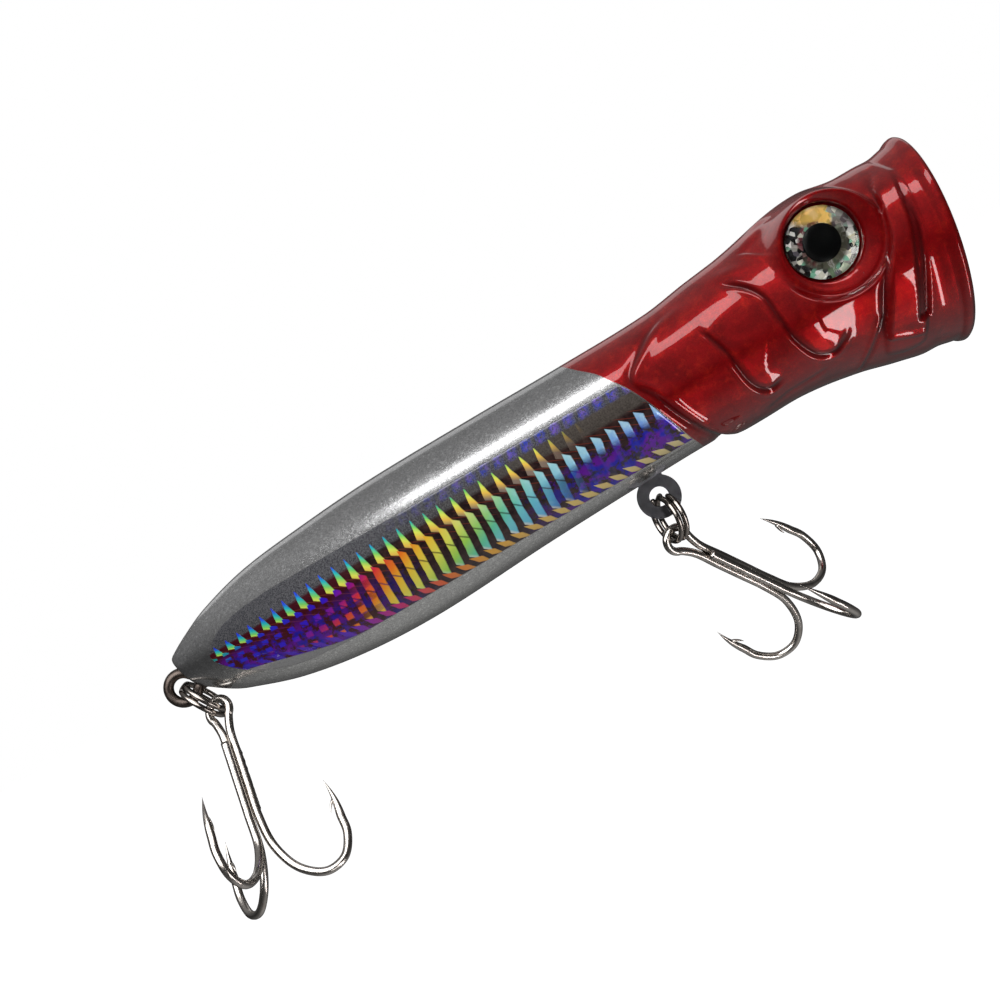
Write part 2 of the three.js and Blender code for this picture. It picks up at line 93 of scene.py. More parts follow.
# Eye and foil panel.
EYE = (168.1, 11.3)
EYE_FLOOR = 14.2
EYE_R = 7.9
IRIS_HOLE_R = 3.2
IRIS_LIFT, PUPIL_LIFT, DOME_LIFT = 0.25, 0.72, 1.5  # above the socket's floor
DOME_HEIGHT = 2.3
PUPIL_R = 4.1
RING_TILT = 0.1  # the ring leans with the hull, which widens towards the mouth
RING_SHIFT = (1.2, -0.7)  # the raised ring sits a little forward of the eye and below it
PANEL_TOP, PANEL_BOTTOM, PANEL_FRONT_POINTS = 7.5, -11.8, 9
PAINT_LAP = -0.25  # the red paint covers the foil's front edge by this much

# Wire parts. The poses are the rest angles of a ring and its hook, in degrees.
TUBE_SIDES = 16
WIRE_R, LOOP_R, LEG_SPREAD, FILLET_R, LEG_LENGTH = 1.2, 3.3, 1.35, 2.2, 11
TAIL_LOOP = (-0.8, -2.6)
RING_R, RING_WIRE_R = 5.3, 0.65
COIL_STEP, JOG = 1.55, math.radians(22)  # the wire steps from one coil to the other over the jog
HOOK_WIRE_R, HOOK_EYE_R = 0.95, 2.75
HOOK_EYE_GAP = math.radians(50)  # half the angle at which the eye is open
SHANK_SPREAD, SHANK_END = 1.1, -26
POINT_LENGTH, POINT_LEAN, POINT_ARCH = 9.4, 0.12, 0.35
BARB_ROOT, BARB_END = (0.62, 3.9), (1.75, 1.3)  # how far inward and how high on the point
HOOK_BEND = [(SHANK_SPREAD, SHANK_END), (2.1, -34), (5.8, -40.6), (11, -43.4), (15.4, -41.8), (17.6, -37),
             (17.5, -32.8)]
HOOK_AZIMUTHS = (-90, 30, 150)
BRAZE_LENGTH, BRAZE_HALF_WIDTH, BRAZE_THICK = 17, 1.4, 0.72
TAIL_POSE = {"ring": -60, "twist": 0, "round": -37, "fold": 31}
BELLY_POSE = {"ring": -95, "twist": -22, "round": 11, "fold": -43}

# Hanger plate, its pin, and the balls. Places are station, distance from the middle plane and height.
HANGER_STATION, HANGER_EYE_Z, HANGER_ROOT_Z = 112, -19.5, -6.4
HANGER_NECK, HANGER_EYE_R, HANGER_ROOT_R = 3, 5, 4
HANGER_HOLE_R, HANGER_PIN_HOLE_R = 2.25, 1.8
HANGER_THICK, HANGER_BEVEL = 1.2, 0.12
PIN_R, PIN_LENGTH, PIN_BEVEL = 1.5, 12, 0.3
BALLAST_R, RATTLE_R = 5.97, 3.98
BALLAST_PLACES = ((43, 0, -8.3), (55.6, 0, -8.8), (68.2, 0, -8.3))
RATTLE_PLACES = {"rattle_right": (86, -5.2, -8.2), "rattle_left": (86, 5.2, -8.2)}

# Side features of the head, as station and height.
PAINT_LINE = [(106.5, 17.5), (109.5, 14.2), (112.5, 11.3), (114.3, 8.7), (116.6, 5.3), (119.2, -0.1),
              (121.5, -5.9), (123.5, -10.8), (125.7, -14.6), (127, -17.5)]
GILL_EDGE = [(134, 15.6), (128, 13.6), (122, 10), (118.4, 7), (118.2, 5.4), (120.8, 1.6), (123.6, -4.8),
             (126.5, -9.9), (129.6, -13.4), (133.5, -15.6), (139, -17.5), (150, -20)]
LOWER_CREASE = [(140, -14), (146.5, -12.9), (152.8, -12.7), (158, -12.2)]
GROOVE_1 = [(136, 8.8), (137.2, 5.5), (138.6, 1), (139.3, -4.1), (140.5, -7.6), (143.1, -9.9), (147.4, -9)]
GROOVE_2 = [(144.6, 14.9), (148.7, 11.8), (151.2, 7.8), (151.7, 2), (152.5, -3.5), (155.5, -8.6),
            (158.9, -9.9), (162.3, -8.1), (163.6, -6.4)]
BROW_TOP = [(152.6, 18.2), (158, 20.3), (163, 21.4), (167.6, 21.7)]
BROW_LOW = [(152.6, 18.2), (156, 15.2), (159.1, 11.8)]
BROW = [(152.6, 18.2), (156, 15.3), (160, 10.5), (168, 10), (170, 22.2), (167.6, 22.2), (163, 21.6),
        (158, 20.5)]
JAW_CREASE = [(163, -17.6), (166, -14.4), (169, -11), (172, -7.6)]
BAR_REAR = [(187.4, 21), (183.7, 16.4), (180, 9), (175.8, -0.5), (171.1, -10.3), (169.4, -14.6)]
BAR_FOOT = [(169.4, -14.6), (169.6, -16.7), (172.3, -18), (175.2, -18.5), (177.6, -18.3), (178.7, -16.8)]
BLOCK_FRONT = [(178.7, -16.8), (180.2, -12.2), (181.9, -7.5), (184, -3), (186.1, 2.2), (187.7, 7.4),
               (188.9, 12.6), (189.4, 18)]
CHANNEL = [(189, 18.5), (187.9, 13), (187, 9), (185.6, 4), (183.6, -1), (181.5, -6.6), (179.5, -12),
           (178.9, -13.7)]
STEP = [(170.3, -13.6), (173, -14.6), (175.6, -15.6), (178.6, -16.4)]

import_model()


# Small numeric helpers.
def smooth(t):
    t = np.clip(t, 0, 1)
    return t * t * (3 - 2 * t)


def turns(count):
    """Angles of a full circle, evenly spaced."""
    return np.arange(count) * math.tau / count


def hull_at(stations):
    """Half-sizes towards the back, belly and side at each station, by cubic interpolation."""
    s = np.clip(stations, HULL[0, 0], HULL[-1, 0])
    i = np.clip(np.searchsorted(HULL[:, 0], s, side="left") - 1, 0, len(HULL) - 2)
    rows = np.arange(len(HULL))
    before, after = np.maximum(rows - 1, 0), np.minimum(rows + 1, len(HULL) - 1)
    slopes = (HULL[after, 1:] - HULL[before, 1:]) / (HULL[after, :1] - HULL[before, :1])
    span = (HULL[i + 1, 0] - HULL[i, 0])[..., None]
    t = (s[..., None] - HULL[i, :1].reshape(*s.shape, 1)) / span
    rise = HULL[i + 1, 1:] - HULL[i, 1:]
    m0, m1 = slopes[i] * span, slopes[i + 1] * span
    return HULL[i, 1:] + t * (m0 + t * (3 * rise - 2 * m0 - m1 + t * (m0 + m1 - 2 * rise)))


def curve_through(points, steps):
    """A smooth line through the points, with the same number of steps between each pair."""
    p = np.array(points, float)
    padded = np.vstack([2 * p[0] - p[1], p, 2 * p[-1] - p[-2]])
    out = []
    for a, b, c, d in zip(padded, padded[1:], padded[2:], padded[3:]):
        ab, bc, cd = (math.sqrt(np.linalg.norm(v)) or 1e-6 for v in (b - a, c - b, d - c))
        t1, t2, t3 = ab, ab + bc, ab + bc + cd
        for k in range(steps):
            t = t1 + (t2 - t1) * k / steps
            ab_ = ((t1 - t) * a + t * b) / t1
            bc_ = ((t2 - t) * b + (t - t1) * c) / (t2 - t1)
            cd_ = ((t3 - t) * c + (t - t2) * d) / (t3 - t2)
            abc = ((t2 - t) * ab_ + t * bc_) / t2
            bcd = ((t3 - t) * bc_ + (t - t1) * cd_) / (t3 - t1)
            out.append(((t2 - t) * abc + (t - t1) * bcd) / (t2 - t1))
    out.append(p[-1])
    return np.array(out)


def from_steps(s, z, line):
    """For each step of a line: its ends and direction, the nearest place on it, and the offset from that."""
    for a, b in zip(line, line[1:]):
        d = b - a
        t = np.clip(((s - a[0]) * d[0] + (z - a[1]) * d[1]) / max(d @ d, 1e-9), 0, 1)
        yield a, b, d, t, s - a[0] - t * d[0], z - a[1] - t * d[1]


def near_line(s, z, points):
    """Distance to a smooth line, the side of it (+ is left of its direction) and the share along it."""
    line = curve_through(points, 8)
    best = np.full(s.shape, 1e9)
    side = np.zeros(s.shape)
    along = np.zeros(s.shape)
    lengths = np.linalg.norm(np.diff(line, axis=0), axis=1)
    starts = np.concatenate([[0], np.cumsum(lengths)])
    for k, (_, _, d, t, ds, dz) in enumerate(from_steps(s, z, line)):
        distance = np.hypot(ds, dz)
        closer = distance < best
        best = np.where(closer, distance, best)
        side = np.where(closer, np.sign(d[0] * dz - d[1] * ds), side)
        along = np.where(closer, (starts[k] + t * lengths[k]) / starts[-1], along)
    return best, side, along


def inside_distance(s, z, outline):
    """Distance to a closed outline, positive inside it."""
    line = np.vstack([outline, outline[:1]])
    best = np.full(s.shape, 1e9)
    inside = np.zeros(s.shape, bool)
    for a, b, _, _, ds, dz in from_steps(s, z, line):
        best = np.minimum(best, np.hypot(ds, dz))
        if a[1] != b[1]:
            crosses = (a[1] > z) != (b[1] > z)
            inside ^= crosses & (s < a[0] + (z - a[1]) * (b[0] - a[0]) / (b[1] - a[1]))
    return np.where(inside, best, -best)


# Mesh helpers. Points are in millimetres.
def grid_faces(rows, cols, start=0, flip=False, wrap=False):
    faces = []
    for r in range(rows - 1):
        for c in range(cols if wrap else cols - 1):
            a, b = start + r * cols + c, start + r * cols + (c + 1) % cols
            quad = (a, b, b + cols, a + cols)
            faces.append(quad[::-1] if flip else quad)
    return faces


def slab_faces(rows, cols):
    """Faces of a sheet: an upper grid, an under grid that follows it, and the rim between the two."""
    count = rows * cols
    faces = grid_faces(rows, cols) + grid_faces(rows, cols, count, flip=True)
    rim = list(range(cols)) + [r * cols + cols - 1 for r in range(1, rows)]
    rim += [(rows - 1) * cols + c for c in range(cols - 2, -1, -1)]
    rim += [r * cols for r in range(rows - 2, 0, -1)]
    for a, b in zip(rim, rim[1:] + rim[:1]):
        faces.append((b, a, a + count, b + count))
    return faces


def piece(name, points, faces, body, material, replaced):
    """A finished mesh piece: it rides on a body and takes the material it is given."""
    mesh = bpy.data.meshes.new(name)
    mesh.from_pydata((np.asarray(points, float) * MM).tolist(), [], faces)
    tidy = bmesh.new()
    tidy.from_mesh(mesh)
    bmesh.ops.remove_doubles(tidy, verts=tidy.verts, dist=1e-7)
    bmesh.ops.recalc_face_normals(tidy, faces=tidy.faces)
    tidy.to_mesh(mesh)
    tidy.free()
    mesh.shade_smooth()
    finish_piece(name, mesh, body, material, replaced)


def finish_piece(name, mesh, body, material, replaced):
    mesh.materials.clear()
    mesh.materials.append(material)
    obj = bpy.data.objects.new(name, mesh)
    bpy.context.scene.collection.objects.link(obj)
    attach(obj, body)
    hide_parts(*replaced)


def sweep(path, radii):
    """A closed tube along a path, with one radius or a radius for each point."""
    p = np.asarray(path, float)
    radii = np.broadcast_to(radii, len(p))
    tangents = np.gradient(p, axis=0)
    tangents /= np.linalg.norm(tangents, axis=1)[:, None]
    across = np.cross(tangents[0], [0.0, 0.0, 1.0])
    if np.linalg.norm(across) < 0.1:
        across = np.cross(tangents[0], [0.0, 1.0, 0.0])
    angles = turns(TUBE_SIDES)
    points = []
    for k, tangent in enumerate(tangents):
        across = across - tangent * (across @ tangent)
        across /= np.linalg.norm(across)
        other = np.cross(tangent, across)
        points.append(p[k] + radii[k] * (np.outer(np.cos(angles), across) + np.outer(np.sin(angles), other)))
    return np.concatenate(points), tube_faces(len(p), TUBE_SIDES)


def tube_faces(rings, sides):
    """Faces of a tube with both ends closed."""
    ends = [tuple(range(sides - 1, -1, -1)), tuple(range((rings - 1) * sides, rings * sides))]
    return grid_faces(rings, sides, wrap=True) + ends


def together(*parts):
    points, faces, count = [], [], 0
    for part_points, part_faces in parts:
        points.append(part_points)
        faces += [tuple(i + count for i in face) for face in part_faces]
        count += len(part_points)
    return np.concatenate(points), faces


def circle(radius, angles, heights):
    return np.stack([radius * np.cos(angles), radius * np.sin(angles), heights], 1)


def lathe(profile, segments):
    """A profile of (radius, height) turned about Z."""
    angles = turns(segments)
    rings = [circle(r, angles, np.full(segments, h)) for r, h in profile]
    return np.concatenate(rings), grid_faces(len(profile), segments, wrap=True)


# Node helpers, shared by the materials and the studio.
class Nodes:
    def __init__(self, tree):
        self.tree = tree

    def add(self, kind, **settings):
        made = self.tree.nodes.new(kind)
        for key, value in settings.items():
            setattr(made, key, value)
        return made

    def feed(self, socket, value):
        if isinstance(value, bpy.types.NodeSocket):
            self.tree.links.new(value, socket)
        else:
            socket.default_value = value

    def math(self, operation, a, b=0.0, c=0.0):
        made = self.add("ShaderNodeMath", operation=operation)
        for socket, value in zip(made.inputs, (a, b, c)):
            self.feed(socket, value)
        return made.outputs[0]

    def map(self, value, low, high, to_low=0.0, to_high=1.0, kind="LINEAR"):
        made = self.add("ShaderNodeMapRange", interpolation_type=kind)
        ends = {"Value": value, "From Min": low, "From Max": high, "To Min": to_low, "To Max": to_high}
        for key, v in ends.items():
            self.feed(made.inputs[key], v)
        return made.outputs[0]

    def mix(self, factor, a, b, blend="MIX"):
        made = self.add("ShaderNodeMix", data_type="RGBA", blend_type=blend)
        self.feed(made.inputs[0], factor)
        self.feed(made.inputs[6], tuple(a) + (1,) if isinstance(a, tuple) else a)
        self.feed(made.inputs[7], tuple(b) + (1,) if isinstance(b, tuple) else b)
        return made.outputs[2]

    def ramp(self, factor, stops, kind="LINEAR"):
        made = self.add("ShaderNodeValToRGB")
        made.color_ramp.interpolation = kind
        elements = made.color_ramp.elements
        while len(elements) < len(stops):
            elements.new(0.5)
        for element, (position, color) in zip(elements, stops):
            element.position = position
            element.color = (*color, 1)
        self.feed(made.inputs[0], factor)
        return made.outputs[0]

    def split(self, vector):
        made = self.add("ShaderNodeSeparateXYZ")
        self.feed(made.inputs[0], vector)
        return made.outputs

    def join(self, x, y, z):
        made = self.add("ShaderNodeCombineXYZ")
        for socket, value in zip(made.inputs, (x, y, z)):
            self.feed(socket, value)
        return made.outputs[0]

    def product(self, *factors):
        result = factors[0]
        for factor in factors[1:]:
            result = self.math("MULTIPLY", result, factor)
        return result

    def one_minus(self, value):
        return self.math("SUBTRACT", 1.0, value)

    def grey(self, value):
        return self.join(value, value, value)


# Materials.
class Look(Nodes):
    """A material whose shader is fed by nodes. The constants are set on the shader's own sockets."""

    def __init__(self, name, **constants):
        self.material = bpy.data.materials.new(name)
        self.material.use_nodes = True
        super().__init__(self.material.node_tree)
        self.shader = self.tree.nodes["Principled BSDF"]
        self.put(**constants)
        self.place = self.add("ShaderNodeTexCoord").outputs["Object"]

    def put(self, **values):
        for key, value in values.items():
            self.feed(self.shader.inputs[key.replace("_", " ")], value)

    def noise(self, scale, detail, rough=0.5, distortion=0.0):
        made = self.add("ShaderNodeTexNoise")
        self.feed(made.inputs["Vector"], self.place)
        settings = {"Scale": scale, "Detail": detail, "Roughness": rough, "Distortion": distortion}
        for key, v in settings.items():
            made.inputs[key].default_value = v
        return made.outputs["Fac"]

    def patches(self, scale, detail, rough, low, high):
        """Noise stretched so that low to high fills 0 to 1. The closer they are, the harder its edges."""
        return self.map(self.noise(scale, detail, rough), low, high)

    def cells(self, scale, place=None):
        made = self.add("ShaderNodeTexVoronoi")
        self.feed(made.inputs["Vector"], place or self.place)
        made.inputs["Scale"].default_value = scale
        return self.split(made.outputs["Color"])

    def attribute(self, name):
        return self.add("ShaderNodeAttribute", attribute_name=name).outputs["Fac"]

    def bump(self, height, distance, strength, below=None):
        made = self.add("ShaderNodeBump")
        made.inputs["Strength"].default_value = strength
        made.inputs["Distance"].default_value = distance
        self.feed(made.inputs["Height"], height)
        if below:
            self.feed(made.inputs["Normal"], below)
        return made.outputs[0]

    def side_plane(self):
        """Station and height in millimetres."""
        x, _, z = self.split(self.place)[:3]
        return self.math("MULTIPLY_ADD", x, 1000.0, float(TOW_STATION)), self.product(z, 1000.0)


CLEAR_COAT = {"Coat_Weight": 1.0, "Coat_Roughness": 0.03, "Coat_IOR": 1.5}


def body_look(name):
    """Silver fleck paint with a candy red head, under a clear coat. The silver is painted lighter and darker
    by height, as painted reflections and a painted highlight band, and the red gets painted shade in its
    grooves and creases.
    """
    look = Look(name, **CLEAR_COAT, Specular_IOR_Level=0.0)
    _, height = look.side_plane()
    red = look.map(look.attribute("paint_edge"), -0.12, 0.12)
    spray = look.patches(260, 4, 0.5, 0.4, 0.7)
    fleck = look.cells(5200)[0]
    large_fleck = look.cells(1900)[1]
    shine = look.math("MULTIPLY_ADD", fleck, 0.5, 0.62)
    shine = look.math("MULTIPLY_ADD", look.math("POWER", large_fleck, 6.0), 0.35, shine)
    # painted reflections: the silver is pale towards the belly, dark at mid side and on top, with a painted
    # highlight band high on the side
    silver = look.ramp(look.map(height, -16.0, 17.0),
                       [(0.0, (0.62, 0.62, 0.60)), (0.22, (0.50, 0.50, 0.49)), (0.5, (0.29, 0.29, 0.295)),
                        (0.8, (0.55, 0.55, 0.555)), (1.0, (0.30, 0.30, 0.305))])
    silver = look.mix(1.0, silver, look.grey(shine), "MULTIPLY")
    cloud = look.map(look.noise(150, 5, 0.6, distortion=0.6), 0.3, 0.72)
    streak = look.patches(420, 3, 0.7, 0.5, 0.8)
    candy = look.mix(cloud, (0.20, 0.0015, 0.003), (0.36, 0.004, 0.006))
    candy = look.mix(look.product(streak, 0.55), candy, (0.55, 0.02, 0.008))
    grain = look.math("MULTIPLY_ADD", fleck, 0.34, 0.83)
    candy = look.mix(1.0, candy, look.grey(grain), "MULTIPLY")
    # painted shade: the candy red is darkened in grooves, creases and recesses, as the shade weight on the
    # mesh says
    groove_shade = look.map(look.attribute("cavity"), 0.0, 1.0, 0.0, 0.85)
    candy = look.mix(groove_shade, candy, (0.035, 0.0, 0.002))
    look.put(Base_Color=look.mix(red, silver, candy))
    look.put(Metallic=look.map(red, 0.0, 1.0, 0.88, 0.55))
    silver_rough = look.math("MULTIPLY_ADD", spray, 0.08, 0.20)
    look.put(Roughness=look.mix(red, look.grey(silver_rough), (0.30, 0.30, 0.30)))
    look.put(Normal=look.bump(fleck, 0.00002, 0.25))
    ripple = look.noise(90, 2)
    look.put(Coat_Normal=look.bump(ripple, 0.0004, 0.10))
    return look.material


# Colours of the foil from the tail to the head, as a share of the ramp's length.
STRIP_RAMP = [(0.00, (0.02, 0.30, 0.10)), (0.05, (0.02, 0.30, 0.45)), (0.10, (0.02, 0.03, 0.55)),
              (0.24, (0.04, 0.01, 0.60)), (0.29, (0.35, 0.01, 0.25)), (0.33, (0.80, 0.04, 0.05)),
              (0.38, (0.95, 0.22, 0.02)), (0.43, (0.98, 0.62, 0.05)), (0.49, (0.88, 0.88, 0.12)),
              (0.55, (0.40, 0.80, 0.12)), (0.60, (0.16, 0.72, 0.42)), (0.65, (0.20, 0.72, 0.78)),
              (0.72, (0.16, 0.58, 0.90)), (0.80, (0.05, 0.22, 0.88)), (1.00, (0.03, 0.05, 0.72))]
TIP_RAMP = [(0.00, (0.02, 0.02, 0.55)), (0.16, (0.02, 0.10, 0.75)), (0.32, (0.02, 0.50, 0.50)),
            (0.48, (0.20, 0.72, 0.15)), (0.64, (0.85, 0.90, 0.12)), (0.80, (0.98, 0.62, 0.10)),
            (1.00, (0.30, 0.22, 0.17))]
EDGE_RAMP = [(0.00, (0.03, 0.02, 0.45)), (0.26, (0.12, 0.02, 0.55)), (0.38, (0.70, 0.03, 0.18)),
             (0.47, (0.90, 0.16, 0.04)), (0.58, (0.95, 0.48, 0.06)), (0.75, (0.95, 0.68, 0.20)),
             (1.00, (0.90, 0.74, 0.36))]


class FoilLook(Look):
    """Hologram foil pressed with rows of scale-like bars, whose colours run along the lure.

    v is the height in millimetres, spread out where the foil tapers, and column counts the bars along
    the lure. rear and front grow towards the foil's two ends.
    """

    def __init__(self, name, **constants):
        super().__init__(name, **constants)
        self.station, self.height = self.side_plane()
        taper = self.map(self.station, 8.0, 44.0, 0.45, 1.0, "SMOOTHSTEP")
        self.v = self.math("DIVIDE", self.height, taper)
        wobble = self.map(self.noise(160, 2), 0.3, 0.7, -0.06, 0.06)
        pitch = self.by_station(10.0, 120.0, 3.0, 3.3)
        self.column = self.math("ADD", self.math("DIVIDE", self.station, pitch), wobble)
        self.front = self.by_station(88.0, 100.0)
        self.rear = self.by_station(50.0, 42.0)

    def by_station(self, start, end, *values):
        """Runs from 0 to 1, or between the values given, from one station to another."""
        return self.map(self.station, start, end, *values)

    def by_height(self, start, end):
        """Runs from 0 to 1 from one height to another."""
        return self.map(self.v, start, end)

    def fraction(self, shift, lean):
        """Where a point lies within its bar, from 0 to 1, in a row that leans with the height."""
        moved = self.math("MULTIPLY_ADD", self.v, lean, self.column)
        return self.math("FRACT", self.math("ADD", moved, shift))

    def slanted(self, f, slope, drop):
        """The height measured along a row whose bars have slanted ends."""
        return self.math("MULTIPLY_ADD", f, slope, self.math("SUBTRACT", self.v, drop))

    def band(self, value, low, high, soft=0.08):
        rise = self.map(value, low - soft, low + soft)
        return self.product(rise, self.map(value, high - soft, high + soft, 1.0, 0.0))

    def bars(self, f, duty, soft=0.035):
        return self.product(self.map(f, 0.0, soft), self.map(f, duty - soft, duty + soft, 1.0, 0.0))

    def long_bars(self):
        """The tall bars of the middle: worn away low at the front and chequered at the rear."""
        f = self.fraction(0.0, -0.012)
        along = self.slanted(f, 2.6, 0.7)
        cut = self.one_minus(self.product(self.band(along, -4.5, -4.1, 0.1), 0.7))
        worn = self.one_minus(self.product(self.front, self.by_height(-2.6, -4.4), 0.93))
        squares = self.map(self.math("SINE", self.product(self.v, 2.1)), -0.3, 0.3)
        chequered = self.one_minus(self.product(self.rear, squares))
        mask = self.product(self.bars(f, 0.5), self.band(along, -9.4, -0.2), cut, worn, chequered)
        place = self.math("MULTIPLY_ADD", self.product(self.v, -1.0), 1.9, self.station)
        color = self.ramp(self.map(place, 8.0, 140.0), STRIP_RAMP)
        shimmer = self.map(self.noise(700, 3, 0.6), 0.3, 0.7, -0.25, 0.25)
        pale = self.math("ADD", self.map(along, -5.0, -0.8), shimmer)
        pale = self.product(pale, self.by_station(66.0, 96.0, 0.0, 0.75))
        color = self.mix(pale, color, (0.55, 0.86, 0.95))
        lit_end = self.product(self.map(along, -8.6, -9.3), self.by_station(52.0, 80.0))
        return mask, self.mix(lit_end, color, (0.88, 0.92, 0.85))

    def tips(self):
        """The pointed row above the tall bars."""
        f = self.fraction(0.42, -0.03)
        along = self.slanted(f, 2.0, 0.5)
        width = self.map(along, -0.2, 4.2, 0.70, 0.05)
        mask = self.product(self.map(self.math("SUBTRACT", f, width), -0.03, 0.03, 1.0, 0.0),
                            self.band(along, -0.3, 4.1), self.by_station(104.0, 92.0))
        place = self.by_station(28.0, 108.0, 0.0, 0.72)
        place = self.math("MULTIPLY_ADD", self.map(along, 4.0, -0.3), 0.58, place)
        return mask, self.ramp(place, TIP_RAMP)

    def edges(self):
        """The row of short bars along the lower edge."""
        f = self.fraction(0.2, 0.22)
        mask = self.product(self.bars(f, 0.58), self.band(self.slanted(f, 1.6, 0.5), -11.3, -9.5))
        return mask, self.ramp(self.by_station(10.0, 120.0), EDGE_RAMP)

    def fleck_row(self):
        """The blue flecks along the upper edge, which fade towards the tail."""
        speckle = self.patches(1500, 5, 0.85, 0.44, 0.53)
        row = self.product(self.bars(self.fraction(0.3, -0.06), 0.66, 0.22), self.band(self.v, 4.8, 7.0, 0.5))
        mask = self.product(row, speckle, self.by_station(55.0, 92.0))
        return mask, self.mix(self.patches(500, 3, 0.5, 0.40, 0.60), (0.03, 0.06, 0.55), (0.20, 0.12, 0.60))

    def gaps(self):
        """The dark foil between the bars, with fine ruled lines and patches of blue and violet."""
        scratch = self.math("FRACT", self.math("MULTIPLY_ADD", self.v, 0.62, self.column))
        ruled = self.map(self.math("ABSOLUTE", self.math("SUBTRACT", scratch, 0.5)), 0.03, 0.07, 1.0, 0.0)
        ruled = self.product(ruled, self.band(self.v, -3.4, 1.4, 0.5))
        color = self.mix(self.patches(700, 3, 0.5, 0.35, 0.65), (0.022, 0.010, 0.012), (0.065, 0.032, 0.028))
        color = self.mix(self.product(self.rear, 0.8), color, (0.085, 0.002, 0.012))
        color = self.mix(self.product(ruled, 0.7), color, (0.30, 0.05, 0.03))
        low_front = self.product(self.by_station(82.0, 98.0), self.by_height(-2.2, -4.6))
        low_tail = self.product(self.by_station(62.0, 34.0), self.by_height(-1.0, -5.0))
        patchy = self.patches(420, 4, 0.7, 0.44, 0.54)
        blue = self.product(self.math("MAXIMUM", low_front, low_tail), patchy, 0.95)
        violet = self.mix(self.patches(300, 2, 0.5, 0.42, 0.58), (0.015, 0.010, 0.50), (0.16, 0.004, 0.42))
        return self.mix(blue, color, violet)

    def unpressed(self):
        """The foil above the bars: plain and brownish in front, speckled grey at the rear and on top."""
        plain = self.mix(self.patches(2600, 3, 0.7, 0.35, 0.7), (0.070, 0.058, 0.050), (0.135, 0.115, 0.10))
        speckled = self.mix(self.patches(3400, 2, 0.8, 0.40, 0.62), (0.045, 0.045, 0.055), (0.15, 0.15, 0.16))
        color = self.mix(self.by_station(62.0, 92.0), speckled, plain)
        return self.mix(self.by_height(4.4, 4.8), color, speckled)

    def borders(self, color):
        """The silver lower edge, and the lower corner near the tail, painted pale grey as a reflection of
        bright surroundings, with the pattern showing there only as painted glints.
        """
        silver = self.mix(self.patches(3200, 2, 0.8, 0.3, 0.7), (0.25, 0.25, 0.255), (0.40, 0.40, 0.40))
        color = self.mix(self.by_height(-11.3, -11.6), color, silver)
        rim = self.math("MULTIPLY_ADD", self.station, 0.36, self.math("ADD", self.height, 6.8))
        # painted reflection: the lower corner near the tail is washed pale grey, with the row pattern as
        # painted teal glints
        corner = self.product(self.map(rim, 0.3, -0.3), self.by_station(44.0, 38.0))
        glint = self.map(self.fraction(0.1, 0.15), 0.55, 0.62, 0.0, 0.55)
        return self.mix(corner, color, self.mix(glint, (0.30, 0.31, 0.30), (0.25, 0.72, 0.62)))


def foil_look():
    look = FoilLook("hologram_foil", **CLEAR_COAT, Specular_IOR_Level=0.2)
    pressed = look.map(look.math("MULTIPLY_ADD", look.front, 1.5, look.v), 2.2, 2.9, 1.0, 0.0)
    color = look.mix(pressed, look.unpressed(), look.gaps())
    flecks, fleck_color = look.fleck_row()
    color = look.mix(flecks, color, fleck_color)
    bright = None
    for mask, row_color in (look.tips(), look.long_bars(), look.edges()):
        color = look.mix(mask, color, row_color)
        bright = look.math("MAXIMUM", bright, mask) if bright else mask
    look.put(
        Base_Color=look.borders(color),
        Metallic=look.map(bright, 0.0, 1.0, 0.45, 0.2),
        Roughness=look.map(bright, 0.0, 1.0, 0.34, 0.24),
        Normal=look.bump(bright, 0.00005, 0.5),
    )
    return look.material


IRIS_PATCHES = [(0.0, (0.012, 0.011, 0.012)), (0.24, (0.34, 0.33, 0.30)), (0.38, (0.90, 0.90, 0.84)),
                (0.54, (0.02, 0.018, 0.02)), (0.64, (0.62, 0.70, 0.52)), (0.76, (0.85, 0.80, 0.58)),
                (0.88, (0.16, 0.24, 0.14))]
IRIS_SLIVERS = [(0.0, (0.012, 0.012, 0.014)), (0.42, (0.88, 0.86, 0.72)), (0.60, (0.98, 0.98, 0.94)),
                (0.74, (0.20, 0.50, 0.34)), (0.86, (0.10, 0.09, 0.11))]
IRIS_LEAN = (0.8625, 0.506)  # cosine and sine of the angle at which the coloured patches lean


